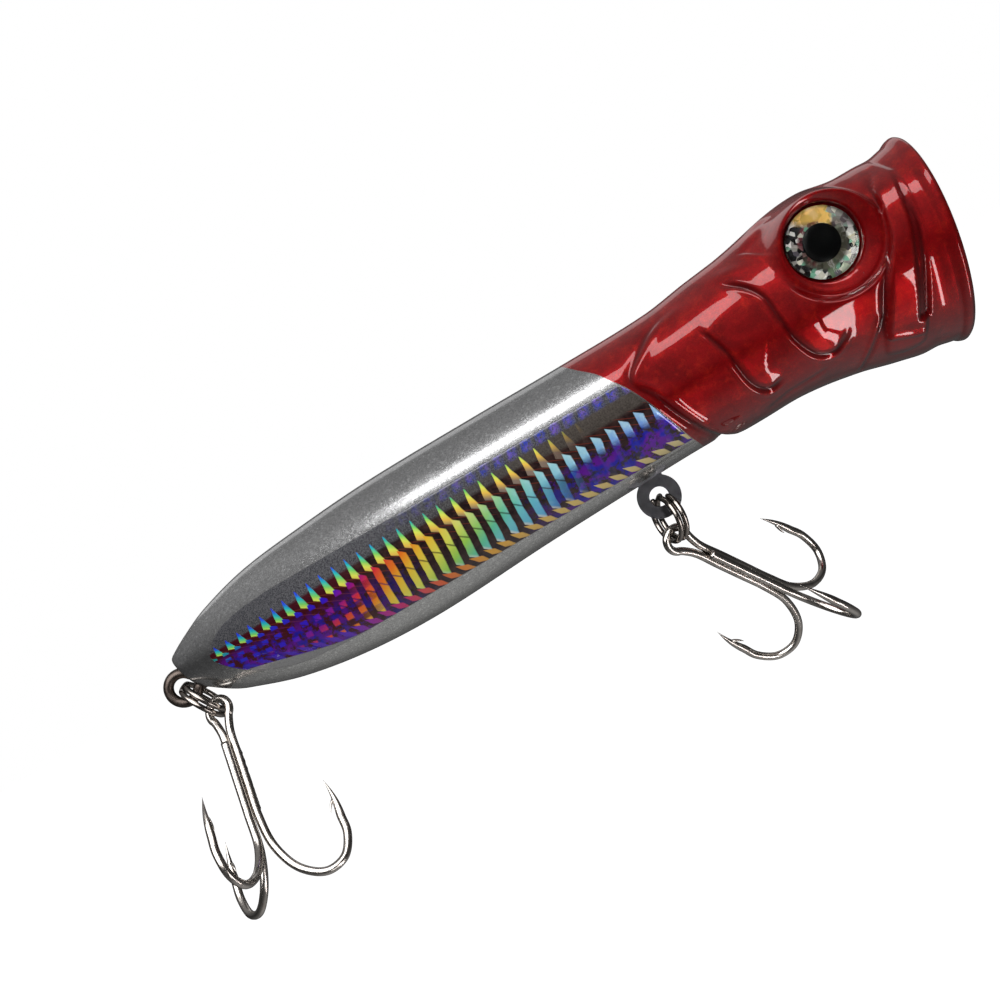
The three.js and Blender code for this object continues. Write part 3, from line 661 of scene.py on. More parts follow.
def iris_look(name, sign):
    """Crinkled hologram foil round the pupil: hard-edged patches of silver, gold and green."""
    look = Look(name, Coat_Weight=0.4, Coat_Roughness=0.05)
    station, height = look.side_plane()
    x = look.math("SUBTRACT", station, EYE[0])
    z = look.math("SUBTRACT", height, EYE[1])
    radius = look.math("SQRT", look.math("ADD", look.product(x, x), look.product(z, z)))
    angle = look.math("ARCTAN2", z, x)
    turned = look.join(look.product(look.math("COSINE", angle), 2.4),
                       look.product(look.math("SINE", angle), 2.4),
                       look.product(radius, 0.42))
    patch = look.cells(1.1, turned)
    sliver = look.cells(2.6, turned)
    color = look.ramp(patch[0], IRIS_PATCHES, "CONSTANT")
    fine = look.ramp(sliver[1], IRIS_SLIVERS, "CONSTANT")
    color = look.mix(look.map(sliver[0], 0.56, 0.60), color, fine)
    up = look.math("MULTIPLY_ADD", z, IRIS_LEAN[0], look.product(x, IRIS_LEAN[1]))
    across = look.math("MULTIPLY_ADD", x, IRIS_LEAN[0], look.product(z, -IRIS_LEAN[1]))
    warm = look.product(look.map(up, 3.0, 4.4), look.map(across, 2.2, 1.6), look.map(patch[1], 0.30, 0.34))
    color = look.mix(warm, color, (0.95, 0.60, 0.14))
    pink = look.product(look.map(up, 2.5, 4.0), look.map(across, 1.8, 2.4), look.map(patch[1], 0.25, 0.3))
    color = look.mix(look.product(pink, 0.8), color, (0.17, 0.13, 0.14))
    inner = look.map(radius, 6.0, 5.4)
    smoky = look.product(inner, look.map(look.math("SUBTRACT", up, across), 1.0, -1.0))
    color = look.mix(look.product(smoky, 0.92), color, (0.085, 0.080, 0.055))
    reddish = look.product(look.map(radius, 5.3, 4.8), look.map(across, -0.5, -1.5))
    reddish = look.product(reddish, look.map(sliver[2], 0.4, 0.5), 0.8)
    color = look.mix(reddish, color, (0.16, 0.02, 0.03))
    outer = look.map(radius, 7.0, 7.7)
    color = look.mix(look.product(outer, 0.92), color, (0.035, 0.04, 0.03))
    look.put(Base_Color=color, Metallic=0.3, Roughness=look.map(sliver[2], 0.0, 1.0, 0.12, 0.40))
    crinkle = look.product(look.math("ADD", patch[2], sliver[2]), float(sign))
    look.put(Normal=look.bump(crinkle, 0.0002, 0.4))
    return look.material


def pupil_look():
    look = Look("pupil_black", Specular_IOR_Level=0.1)
    speck = look.patches(2500, 3, 0.5, 0.45, 0.75)
    look.put(Base_Color=look.mix(speck, (0.0004, 0.0004, 0.0006), (0.002, 0.002, 0.002)))
    look.put(Roughness=look.map(speck, 0.0, 1.0, 0.28, 0.42))
    return look.material


def dome_look():
    look = Look("clear_dome", Transmission_Weight=1.0, IOR=1.2)
    haze = look.noise(900, 3)
    look.put(Base_Color=look.mix(look.map(haze, 0.4, 0.8), (1.0, 1.0, 1.0), (0.96, 0.97, 0.96)))
    look.put(Roughness=look.map(haze, 0.3, 0.8, 0.0, 0.03))
    return look.material


def metal_look(name, dark, light, rough, scratch=0.5, tint=None):
    """Plated or bare metal with drifting tone, fine scratches and a slightly uneven surface."""
    look = Look(name, Metallic=1.0)
    drift = look.patches(300, 4, 0.6, 0.32, 0.7)
    color = look.mix(drift, dark, light)
    if tint:
        stain = look.patches(520, 4, 0.7, 0.56, 0.72)
        color = look.mix(look.product(stain, 0.6), color, tint)
    look.put(Base_Color=color)
    fine = look.noise(2600, 4, 0.75)
    uneven = look.math("MULTIPLY_ADD", fine, scratch, look.product(drift, 1 - scratch))
    look.put(Roughness=look.map(uneven, 0.25, 0.75, *rough))
    look.put(Normal=look.bump(fine, 0.00003, 0.35, look.bump(look.noise(420, 2), 0.0001, 0.25)))
    return look.material


# Name, darkest and lightest colour, least and most roughness, share of scratches in it, colour of stains.
METALS = {
    "wire": ("bronzed_wire", (0.045, 0.035, 0.030), (0.105, 0.085, 0.075), (0.30, 0.48), 0.6),
    "plate": ("stamped_plate", (0.22, 0.225, 0.245), (0.36, 0.37, 0.40), (0.34, 0.52), 0.7),
    "ring": ("black_nickel_ring", (0.20, 0.18, 0.165), (0.38, 0.34, 0.31), (0.12, 0.26)),
    "hook": ("black_nickel_hook", (0.40, 0.37, 0.34), (0.66, 0.62, 0.58), (0.12, 0.26), 0.5,
             (0.30, 0.24, 0.20)),
    "braze": ("braze_metal", (0.38, 0.36, 0.32), (0.60, 0.58, 0.52), (0.42, 0.62), 0.7),
    "ballast": ("ballast_steel", (0.22, 0.22, 0.23), (0.38, 0.38, 0.40), (0.35, 0.55), 0.7,
                (0.25, 0.14, 0.08)),
    "rattle": ("rattle_steel", (0.48, 0.48, 0.50), (0.68, 0.68, 0.70), (0.08, 0.16)),
}
LOOKS = {key: metal_look(*settings) for key, settings in METALS.items()}
LOOKS.update(foil=foil_look(), pupil=pupil_look(), dome=dome_look())


# The body halves.
def slanted_x(station, z):
    tail = np.clip(1 - station / TAIL_BLEND, 0, 1) ** TAIL_EASE
    mouth = smooth((station - MOUTH_BLEND) / (LIP_STATION - MOUTH_BLEND))
    return station + TAIL_SLANT * (HULL[0, 1] - z) * tail + MOUTH_SLANT * z * mouth


def half_grid(rows, angles, inset=0.0):
    """Stations, heights and depths (distance from the middle plane) of the hull on a grid."""
    stations = np.array([row[0] for row in rows])[:, None] * np.ones(len(angles))
    shares = np.array([row[1] for row in rows])[:, None]
    back, belly, side = np.moveaxis(hull_at(stations) - inset, -1, 0)
    up = np.cos(angles)[None, :] * shares
    z = up * np.where(up > 0, back, belly)
    y = np.sin(angles)[None, :] * shares * side
    return slanted_x(stations, z), z, y


def outer_rows():
    """Stations and shares from the middle of the tail end, over the skin and lip, into the bowl."""
    tail = [(0, share) for share in (0, 0.3, 0.6, 0.8)] + [(0.07, 0.9), (0.25, 0.955), (0.55, 0.985), (1, 1)]
    skin = np.concatenate([np.arange(1.5, 12, 0.6), np.arange(12, 104, 1.3), np.arange(104, 189.6, 0.42)])
    lip = curve_through([(189.8, 1.0), (191.2, 1.028), (192.3, 1.027), (193.0, 0.985), (192.8, 0.925),
                         (191.3, 0.885), (189.6, 0.85)], 5)
    bowl = [(CUP_BOTTOM + (LIP_STATION - 1 - CUP_BOTTOM) * (share / CUP_EDGE) ** 2.2, share)
            for share in np.linspace(0.82, 0, 26)]
    return tail + [(s, 1.0) for s in skin] + [tuple(p) for p in lip] + bowl, len(tail) + len(skin)


def ridge(distance, width):
    return np.exp(-((distance / width) ** 2))


def crease(s, z, points, start, finish):
    """Distance to a line, the same with its side's sign, and a fade over a share of each of its ends."""
    distance, side, along = near_line(s, z, points)
    return distance, distance * side, smooth(along / start) * smooth((1 - along) / finish)


# Each feature of the head gives its height above the hull, and a weight for the painted shade in its grooves
# and creases.
def gill_plate(s, z):
    """It stands proud inside its edge, most of all along the bottom, with a trough outside.

    A shorter crease runs low down in front of the edge.
    """
    edge, side, _ = near_line(s, z, GILL_EDGE)
    signed = edge * side
    fade = (1 - smooth((s - 133) / 27)) * smooth((15.8 - z) / 3)
    tall = 0.30 + 0.62 * smooth((5 - z) / 6)
    height = tall * smooth(signed + 0.3) * (0.7 + 0.3 * ridge(np.maximum(signed, 0), 9))
    height += 0.16 * ridge(signed - 1.2, 0.7) - (0.12 + 0.38 * tall) * ridge(signed + 0.6, 0.7)
    cavity = (0.45 + 0.35 * tall) * ridge(signed + 0.3, 0.55)
    lower, _, ends = crease(s, z, LOWER_CREASE, 0.25, 0.25)
    return fade * height - 0.22 * ends * ridge(lower, 0.5), fade * cavity + 0.45 * ends * ridge(lower, 0.4)


def grooves(s, z):
    """Two S-shaped grooves, whose front side overlaps the rear side, and a small leaf-like rise above."""
    height = 0.42 * ridge(s - 148, 3.6) * ridge(z - 15.6 + (s - 148) * 0.12, 1.2)
    cavity = np.zeros(s.shape)
    for points, depth, step in ((GROOVE_1, 0.48, 0.30), (GROOVE_2, 0.55, 0.42)):
        groove, signed, ends = crease(s, z, points, 0.12, 0.14)
        overlap = step * smooth((signed + 0.1) / 0.7) * np.exp(-np.maximum(signed, 0) / 5)
        height += ends * (overlap + 0.16 * ridge(signed + 1.0, 0.5) - depth * ridge(groove, 0.55))
        cavity += 0.9 * ends * ridge(groove, 0.42)
    return height, cavity


def brow(s, z):
    """A shallow triangular facet between two creases."""
    height = -0.38 * smooth((inside_distance(s, z, np.array(BROW)) + 0.5) / 1.2)
    for points in (BROW_TOP, BROW_LOW):
        line, _, ends = crease(s, z, points, 0.2, 0.2)
        height += 0.18 * ends * ridge(line, 0.5)
    return height, 0


def cheek(s, z):
    """The cheek below the eye, and the crease behind the jaw."""
    _, signed, ends = crease(s, z, JAW_CREASE, 0.1, 0.2)
    fold = 0.30 * ridge(signed - 0.55, 0.5) - 0.38 * ridge(signed + 0.25, 0.5)
    return 1.1 * ridge(s - 156, 9) * ridge(z + 4, 8) + ends * fold, 0.5 * ends * ridge(signed + 0.2, 0.4)


def jaw_block(s, z):
    """The block in front of the eye: a rounded bar, a channel along it and a stepped, rounded foot."""
    outline = np.vstack([curve_through(line, 6)[:-1] for line in (BAR_REAR, BAR_FOOT, BLOCK_FRONT)])
    block = inside_distance(s, z, outline)
    top = smooth((20.5 - z) / 7)
    height = 1.15 * top * smooth((block + 0.4) / 1.5)
    valley = ridge(LIP_STATION + MOUTH_SLANT * z - s - 6.5, 3)
    height -= 0.5 * valley * (1 - smooth((block + 0.6) / 0.8))
    rear, rear_side, rear_along = near_line(s, z, BAR_REAR)
    outside = top * ridge(rear - 0.5, 0.9) * (rear_side < 0) * smooth((1 - rear_along) / 0.1)
    channel, _, along = near_line(s, z, CHANNEL)
    reach = 0.45 + 0.75 * smooth(along / 0.6)
    ends = smooth(along / 0.2) * (1 - smooth((along - 0.97) / 0.03))
    dip = ends * (1 - smooth((channel - reach + 0.3) / 0.7))
    height -= 0.4 * outside + 1.15 * dip
    step, step_side, _ = near_line(s, z, STEP)
    signed = step * step_side
    height -= 0.55 * smooth((0.35 - signed) / 0.7) * smooth((block + 0.2) / 1.2)
    height += 0.28 * smooth((block - 0.3) / 0.8) * ridge(signed - 0.7, 0.55)
    return height, 0.8 * outside + 0.6 * dip


def relief(s, z):
    """The height and the painted shade weight of all the head's features together."""
    features = [feature(s, z) for feature in (gill_plate, grooves, brow, cheek, jaw_block)]
    return sum(height for height, _ in features), np.clip(sum(cavity for _, cavity in features), 0, 1)


def eye_socket(s, z, y):
    """Moves the skin round the eye into a recessed bore with a raised ring."""
    ds, dz = s - EYE[0], z - EYE[1]
    r = np.hypot(ds, dz)
    start = [0, 7.6, 8.3, 8.7, 9.1, 9.7, 10.4, 10.9, 11.4, 12.6]
    moved = np.interp(r, start, [0, 8.15, 8.45, 8.55, 8.7, 9.4, 10.4, 10.9, 11.3, 12.6])
    depth = np.interp(r, start[:9], [EYE_FLOOR, EYE_FLOOR, 14.5, 16.4, 17.1, 17.55, 18.25, 18.4, 18.0])
    scale = moved / np.maximum(r, 1e-6)
    away = smooth((y - 0.5) / 3.5)
    depth = depth + RING_TILT * ds * smooth((r - 8.6) / 1.5)
    near = (1 - smooth((r - 11.0) / 2.2)) * away
    shift = smooth((r - 8.8) / 1.8) * (1 - smooth((r - 11.0) / 5.0)) * away
    new_s = EYE[0] + ds * (1 + (scale - 1) * near) + RING_SHIFT[0] * shift
    new_z = EYE[1] + dz * (1 + (scale - 1) * near) + RING_SHIFT[1] * shift
    return new_s, new_z, y + (depth - y) * near, near, r


def half_points():
    """The outer grid of a body half (as distances from the middle plane) and its colour fields."""
    rows, skin_rows = outer_rows()
    angles = np.linspace(0, math.pi, 181)
    s, z, y = half_grid(rows, angles)
    points = np.stack([s, y, z], -1)
    normal = np.cross(np.gradient(points, axis=0), np.gradient(points, axis=1))
    normal /= np.maximum(np.linalg.norm(normal, axis=2), 1e-9)[..., None]
    outward = np.sign(np.mean(normal[60:skin_rows, 90, 1]))
    normal *= outward
    height, cavity = relief(s, z)
    on_skin = np.zeros(len(rows))
    on_skin[:skin_rows] = 1
    on_skin[skin_rows:skin_rows + 8] = np.linspace(0.9, 0, 8)
    ring = np.hypot(s - EYE[0], z - EYE[1])
    height = height * on_skin[:, None] * smooth((ring - 11.2) / 1.6)
    panel = smooth((inside_distance(s, z, panel_outline()) - 1.2) / 1.5)
    height = height - 0.3 * panel * (on_skin[:, None] > 0)
    points = points + normal * height[..., None]
    s2, z2, y2, near, r = eye_socket(points[..., 0], points[..., 2], points[..., 1])
    skin = on_skin[:, None] >= 0.999
    points = np.where(skin[..., None], np.stack([s2, y2, z2], -1), points)
    cavity = cavity * on_skin[:, None] * (1 - near)
    # painted shade: a dark band in the valley below the eye's ring, and on the socket's inner wall
    valley = ridge(r - 12.0, 0.8) * smooth((4 - z) / 6)
    wall = smooth((9.3 - r) / 0.7)
    cavity = np.clip(cavity + skin * (0.8 * valley + 0.55 * wall), 0, 1)
    edge, side, _ = near_line(s, z, PAINT_LINE)
    paint = np.where(np.abs(s - 117) < 14, edge * side, np.sign(s - 117) * 5)
    points[..., 1] = np.maximum(points[..., 1], SEAM)
    points[:, 0, 1] = points[:, -1, 1] = SEAM
    return points, cavity, paint


def inner_points():
    """The hollow inside a body half."""
    stations = np.linspace(*HOLLOW, 60)
    rows = [(HOLLOW[0], 0.0)] + [(s, 1.0) for s in stations] + [(HOLLOW[1], 0.0)]
    angles = np.linspace(0, math.pi, 49)
    s, z, y = half_grid(rows, angles, WALL)
    under_eye = np.hypot(s - EYE[0], z - EYE[1]) < 10.5
    y = np.where(under_eye, np.minimum(y, EYE_FLOOR - 2), y)
    y = np.maximum(y, SEAM)
    y[:, 0] = y[:, -1] = SEAM
    return np.stack([s, y, z], -1)


def paint_station(heights):
    """The station of the paint's edge at each height on the side."""
    line = np.array(PAINT_LINE)[::-1]
    return np.interp(heights, line[:, 1], line[:, 0])


def panel_outline():
    tail = [(40, PANEL_BOTTOM), (25, -10.4), (14.5, -5.8), (9, 0.6), (12.6, 4.4), (20, 6.6), (34, PANEL_TOP)]
    heights = np.linspace(PANEL_TOP, PANEL_BOTTOM, PANEL_FRONT_POINTS)
    return np.vstack([curve_through(tail, 6), [(paint_station(z) - PAINT_LAP, z) for z in heights]])


def to_frame(points, side):
    """From station, depth and height to the frame's X, Y and Z."""
    flat = points.reshape(-1, 3).copy()
    flat[:, 0] -= TOW_STATION
    flat[:, 1] *= side
    return flat


def body_half(side, word):
    outer, cavity, paint = half_points()
    inner = inner_points()
    rows, cols = outer.shape[:2]
    inner_start = rows * cols
    points = np.concatenate([to_frame(outer, side), to_frame(inner, side)])
    faces = grid_faces(rows, cols) + grid_faces(inner.shape[0], inner.shape[1], inner_start)
    mesh = bpy.data.meshes.new(f"popper_body_{word}")
    mesh.from_pydata((points * MM).tolist(), [], faces)
    for name, field in (("cavity", cavity), ("paint_edge", paint)):
        values = np.concatenate([field.reshape(-1), np.zeros(len(points) - inner_start)])
        mesh.attributes.new(name, "FLOAT", "POINT").data.foreach_set("value", values.astype(np.float32))
    tidy = bmesh.new()
    tidy.from_mesh(mesh)
    bmesh.ops.remove_doubles(tidy, verts=tidy.verts, dist=2e-6)
    bmesh.ops.dissolve_degenerate(tidy, dist=1e-7, edges=tidy.edges)
    rims = [e for e in tidy.edges if e.is_boundary]
    bmesh.ops.triangle_fill(tidy, edges=rims, use_beauty=True)
    bmesh.ops.recalc_face_normals(tidy, faces=tidy.faces)
    for face in tidy.faces:
        face.smooth = True
        if all(abs(v.co.y) < 0.06 * MM for v in face.verts):
            face.smooth = False
            for e in face.edges:
                e.smooth = False
    tidy.to_mesh(mesh)
    tidy.free()
    finish_piece(f"popper_body_{word}", mesh, "lure_body", body_look(f"paint_{word}"),
                 [f"body_half_{word}"])


# Foil panels: they follow the hull, a hair proud of it, with their edges sunk into it.
def foil_panel(side, word):
    heights = np.linspace(PANEL_TOP, PANEL_BOTTOM, 41)
    outline = panel_outline()
    tail = outline[:-PANEL_FRONT_POINTS]
    order = np.argsort(tail[:, 1])
    tail_s = np.interp(heights, tail[order, 1], tail[order, 0])
    front_s = paint_station(heights) - PAINT_LAP
    along = np.linspace(0, 1, 161)
    s = tail_s[:, None] + (front_s - tail_s)[:, None] * along[None, :]
    z = heights[:, None] * np.ones(len(along))
    back, belly, width = np.moveaxis(hull_at(s), -1, 0)
    lean = np.clip(z / np.where(z > 0, back, belly), -1, 1)
    y = width * np.sqrt(1 - lean**2)
    inside = inside_distance(s, z, outline)
    proud = -0.14 + 0.19 * smooth((inside + 0.05) / 0.35)
    slope = np.stack([np.zeros(s.shape), y / width**2, z / np.where(z > 0, back, belly) ** 2], -1)
    slope /= np.linalg.norm(slope, axis=2)[..., None]
    base = np.stack([s, y, z], -1)
    top = base + slope * proud[..., None]
    under = base - slope * 0.30
    points = np.concatenate([to_frame(top, side), to_frame(under, side)])
    piece(f"foil_panel_{word}", points, slab_faces(*s.shape), "lure_body", LOOKS["foil"],
          [f"side_foil_{word}"])


# Eyes. Each disc is built about Z and turned to face out of its socket.
def face_out(points, side, lift):
    """From a disc about Z to the eye's place, lift millimetres above the socket floor."""
    x = EYE[0] - TOW_STATION + points[:, 0]
    y = side * (EYE_FLOOR + lift + points[:, 2])
    return np.stack([x, y, EYE[1] + points[:, 1]], 1)


def iris_mesh():
    """A thin crinkled disc with a hole, which the pupil covers."""
    rng = random.Random(7)
    count = 96
    angles = turns(count)
    creases = [rng.uniform(-1, 1) for _ in range(count)]
    radii = np.linspace(IRIS_HOLE_R, EYE_R, 12)
    rings = []
    for k, r in enumerate(radii):
        wave = np.array([creases[(i + k // 3) % count] for i in range(count)])
        rings.append(circle(r, angles, 0.30 + 0.10 * wave * math.sin(math.pi * k / (len(radii) - 1))))
    rings += [circle(r, angles, np.zeros(count)) for r in radii[::-1]]
    rings.append(rings[0])
    return np.concatenate(rings), grid_faces(len(rings), count, wrap=True)


def eye(side, word):
    crown = [(0, 0), (PUPIL_R - 0.1, 0), (PUPIL_R, 0.08), (PUPIL_R, 0.22), (PUPIL_R - 0.08, 0.30),
             (PUPIL_R * 0.7, 0.36), (PUPIL_R * 0.35, 0.40), (0, 0.41)]
    dome = [(0, 0), (EYE_R - 0.25, 0), (EYE_R - 0.06, 0.06), (EYE_R, 0.2), (EYE_R, 0.42)]
    for share in np.linspace(0.985, 0, 14):
        dome.append((EYE_R * share, 0.5 + (DOME_HEIGHT - 0.5) * math.sqrt(1 - share**2)))
    iris_foil = iris_look(f"iris_foil_{word}", side)
    for name, (points, faces), lift, slot, look, replaced in (
        (f"eye_iris_{word}", iris_mesh(), IRIS_LIFT, "iris", iris_foil, "eye_foil"),
        (f"eye_pupil_{word}", lathe(crown, 64), PUPIL_LIFT, "pupil", LOOKS["pupil"], "pupil_disc"),
        (f"eye_dome_{word}_clear", lathe(dome, 72), DOME_LIFT, "dome", LOOKS["dome"], "eye_dome"),
    ):
        piece(name, face_out(points, side, lift), faces, "lure_body", look,
              [f"{replaced}_{word}"])


# Wire frame, hanger, pin and balls.
def loop_points():
    """An eye bent into a wire, open towards +X, with its legs at z = -/+ LEG_SPREAD."""
    steps = 40
    reach = LOOP_R + FILLET_R
    fillet_z = LEG_SPREAD + FILLET_R
    fillet_x = math.sqrt(reach**2 - fillet_z**2)
    opening = math.atan2(fillet_z, fillet_x)
    angles = [opening + (math.tau - 2 * opening) * i / steps for i in range(steps + 1)]
    points = [(LOOP_R * math.cos(a), LOOP_R * math.sin(a)) for a in angles]
    fillet = []
    for turn in np.linspace(0.15, 1, 6):
        a = math.pi + opening + (math.pi / 2 - opening) * turn
        fillet.append((fillet_x + FILLET_R * math.cos(a), fillet_z + FILLET_R * math.sin(a)))
    return fillet[::-1] + points + [(x, -z) for x, z in fillet]


def through_wire():
    """One wire from the tail loop to the nose loop, with both legs of each loop side by side."""
    tail_x, tail_z = TAIL_LOOP[0] - TOW_STATION, TAIL_LOOP[1]
    tail = [(tail_x + x, tail_z + z) for x, z in loop_points()]
    nose = [(-x, -z) for x, z in loop_points()]
    tail_leg, nose_leg = tail[0][0] + LEG_LENGTH, nose[0][0] - LEG_LENGTH
    half_leg = LEG_LENGTH / 2
    route = [(tail_leg, tail_z - LEG_SPREAD), (tail_leg - half_leg, tail_z - LEG_SPREAD), *tail[::-1]]
    route += [(tail_leg - half_leg, tail_z + LEG_SPREAD), (tail_leg + 4, -0.2), (tail_leg + 12, 0)]
    route += [(-126, 0), (-66, 0), (nose_leg - 14, 0), (nose_leg - 6, LEG_SPREAD * 0.7)]
    route += [(nose_leg + half_leg, LEG_SPREAD), *nose[::-1]]
    route += [(nose_leg + half_leg, -LEG_SPREAD), (nose_leg, -LEG_SPREAD)]
    points, faces = sweep(curve_through([(x, 0, z) for x, z in route], 3), WIRE_R)
    piece("wire_frame", points, faces, "lure_body", LOOKS["wire"], ["through_wire"])


def hanger():
    """The hanger plate: a flat outline with two holes, thickened and with rounded edges."""
    def arc(radius, z, start, finish, count, endpoint=True):
        angles = np.linspace(start, finish, count, endpoint)
        return [(radius * math.cos(a), z + radius * math.sin(a)) for a in angles]

    eye_turn, root_turn = math.asin(HANGER_NECK / HANGER_EYE_R), math.asin(HANGER_NECK / HANGER_ROOT_R)
    half, full = math.pi / 2, math.tau
    outline = arc(HANGER_EYE_R, HANGER_EYE_Z, half - eye_turn, half + eye_turn - full, 64)
    outline += arc(HANGER_ROOT_R, HANGER_ROOT_Z, 3 * half - root_turn, root_turn - half, 40)
    holes = [arc(HANGER_HOLE_R, HANGER_EYE_Z, 0, full, 40, False),
             arc(HANGER_PIN_HOLE_R, HANGER_ROOT_Z, 0, full, 40, False)]
    data = bpy.data.curves.new("hanger_outline", "CURVE")
    data.dimensions = "2D"
    data.fill_mode = "BOTH"
    data.extrude = (HANGER_THICK / 2 - HANGER_BEVEL) * MM
    data.bevel_depth = HANGER_BEVEL * MM
    data.offset = -HANGER_BEVEL * MM
    data.bevel_resolution = 2
    for loop in [outline] + holes:
        spline = data.splines.new("POLY")
        spline.points.add(len(loop) - 1)
        spline.use_cyclic_u = True
        for point, (x, z) in zip(spline.points, loop):
            point.co = (x * MM, z * MM, 0, 1)
    drawn = bpy.data.objects.new("hanger_outline", data)
    mesh = bpy.data.meshes.new_from_object(drawn)
    bpy.data.objects.remove(drawn)
    place = Matrix.Translation(((HANGER_STATION - TOW_STATION) * MM, 0, 0))
    mesh.transform(place @ Matrix.Rotation(math.pi / 2, 4, "X"))
    mesh.name = "hanger_plate"
    finish_piece("hanger_plate", mesh, "lure_body", LOOKS["plate"], ["belly_hanger"])


def cross_pin():
    half, bevel = PIN_LENGTH / 2, PIN_BEVEL
    profile = [(0, -half), (PIN_R - bevel, -half), (PIN_R, -half + bevel), (PIN_R, half - bevel),
               (PIN_R - bevel, half), (0, half)]
    points, faces = lathe(profile, 40)
    points = points[:, [0, 2, 1]] + [HANGER_STATION - TOW_STATION, 0, HANGER_ROOT_Z]
    piece("cross_pin", points, faces, "lure_body", LOOKS["plate"], ["hanger_pin"])


def ball(place, radius, flat, band):
    """A moulded ball: a small flat where it was gated, and a faint parting band."""
    profile = []
    for a in np.linspace(-math.pi / 2, math.pi / 2, 29):
        h = min(radius * math.sin(a), radius - flat)
        profile.append((radius * math.cos(a) + (band if abs(a) < 0.03 else 0), h))
    profile.append((0, radius - flat))
    points, faces = lathe(profile, 48)
    return points + [place[0] - TOW_STATION, *place[1:]], faces


def balls():
    for i, place in enumerate(BALLAST_PLACES, 1):
        points, faces = ball(place, BALLAST_R, 0.25, 0.03)
        piece(f"ballast_{i}", points, faces, "lure_body", LOOKS["ballast"], [f"ballast_ball_{i}"])
    for i, (body, place) in enumerate(RATTLE_PLACES.items(), 1):
        points, faces = ball(place, RATTLE_R, 0.06, 0.01)
        piece(f"rattle_{i}", points, faces, body, LOOKS["rattle"], [f"rattle_ball_{i}"])


# Split rings and treble hooks.
def pose_matrices(x, z, pose):
    """The ring's and the hook's placing matrices, from the rest pose's angles."""
    def turn(axis, degrees):
        return Matrix.Rotation(math.radians(degrees), 4, axis)

    def shift(dx):
        return Matrix.Translation((dx, 0, 0))

    twist = Matrix.Translation((x, 0, z)) @ turn("Y", -pose["ring"]) @ turn("X", pose["twist"])
    ring = twist @ shift(RING_R)
    return ring, ring @ turn("Z", pose["round"]) @ shift(RING_R) @ turn("Y", pose["fold"] - 90)


def placed(points, matrix):
    rotation = np.array(matrix.to_3x3())
    return points @ rotation.T + np.array(matrix.translation)


def split_ring():
    """Two coils of wire, which the wire steps between at a jog."""
    path = []
    for t in np.linspace(0, 1, 150):
        angle = JOG + t * (4 * math.pi - 2 * JOG)
        u = np.clip((angle - (math.tau - JOG * 0.9)) / (JOG * 1.8), 0, 1)
        side = u * u * u * (u * (u * 6 - 15) + 10) - 0.5
        path.append((-RING_R * math.cos(angle), RING_R * math.sin(angle), COIL_STEP * side))
    return sweep(path, np.concatenate([[0.5, 0.6], np.full(len(path) - 4, RING_WIRE_R), [0.6, 0.5]]))


def bend_points(azimuth):
    a = math.radians(azimuth)
    return [(rho * math.cos(a), rho * math.sin(a), z) for rho, z in HOOK_BEND]


def inward_at(tip):
    """The direction from a hook's tip towards its shank."""
    return -np.array([tip[0], tip[1], 0]) / np.hypot(tip[0], tip[1])


def hook_wire(route, ends):
    """A hook's wire with a needle point at each of its named ends ('start', 'finish')."""
    path = curve_through(route, 9)
    radii = np.full(len(path), HOOK_WIRE_R)
    share = np.linspace(0, 1, 22)[1:]
    taper = HOOK_WIRE_R * np.clip(1 - share**1.35, 0.035, 1)
    for end in ends:
        tip = path[0] if end == "start" else path[-1]
        inward = inward_at(tip)
        direction = inward * POINT_LEAN + [0, 0, 1]
        direction /= np.linalg.norm(direction)
        lean = np.outer(share * (POINT_LENGTH - 0.4), direction)
        point = tip + (lean + np.outer(POINT_ARCH * np.sin(math.pi * share), -inward))
        if end == "start":
            path, radii = np.vstack([point[::-1], path]), np.concatenate([taper[::-1], radii])
        else:
            path, radii = np.vstack([path, point]), np.concatenate([radii, taper])
    return sweep(path, radii)


def barb(azimuth):
    """A sliver raised from the inner side of a point, facing back down the wire."""
    rings, sides = 7, 10
    tip = np.array(bend_points(azimuth)[-1])
    inward = inward_at(tip)
    across, over = np.cross(inward, [0, 0, 1]), inward * 0.9 + np.array([0, 0, 0.4])
    root, end = (tip + inward * reach + [0, 0, rise] for reach, rise in (BARB_ROOT, BARB_END))
    points = []
    for share in np.linspace(0, 1, rings):
        middle = root + (end - root) * share + inward * 0.25 * math.sin(math.pi * share)
        wide, thick = 0.50 * (1 - share) ** 0.8 + 0.03, 0.32 * (1 - share) ** 0.7 + 0.03
        for a in turns(sides):
            points.append(middle + across * wide * math.cos(a) + over * thick * math.sin(a))
    return np.array(points), tube_faces(rings, sides)


def double_hook():
    """One wire bent into the eye and two of the hooks."""
    _, first, second = HOOK_AZIMUTHS
    start, turn = HOOK_EYE_GAP - math.pi / 2, math.tau - 2 * HOOK_EYE_GAP
    eye_turns = [start + turn * i / 24 for i in range(25)]
    eye_loop = [(HOOK_EYE_R * math.cos(a), 0, HOOK_EYE_R * math.sin(a)) for a in eye_turns]

    def leg(azimuth, side):
        bend = bend_points(azimuth)
        bend[0] = (side * SHANK_SPREAD, 0, SHANK_END)
        return bend

    shank = [-5.6, -12, -19]
    route = (leg(first, 1)[::-1] + [(SHANK_SPREAD, 0, z) for z in shank[::-1]] + eye_loop
             + [(-SHANK_SPREAD, 0, z) for z in shank] + leg(second, -1))
    return together(hook_wire(route, ("start", "finish")), barb(first), barb(second))


def single_hook():
    """The third hook, which nests against the other two shanks."""
    azimuth = HOOK_AZIMUTHS[0]
    depth = SHANK_SPREAD * math.sqrt(3)
    bend = bend_points(azimuth)
    bend[0] = (0, -depth, SHANK_END)
    route = [(0, -depth, z) for z in (-8.5, -14, -20)] + bend
    return together(hook_wire(route, ("finish",)), barb(azimuth))


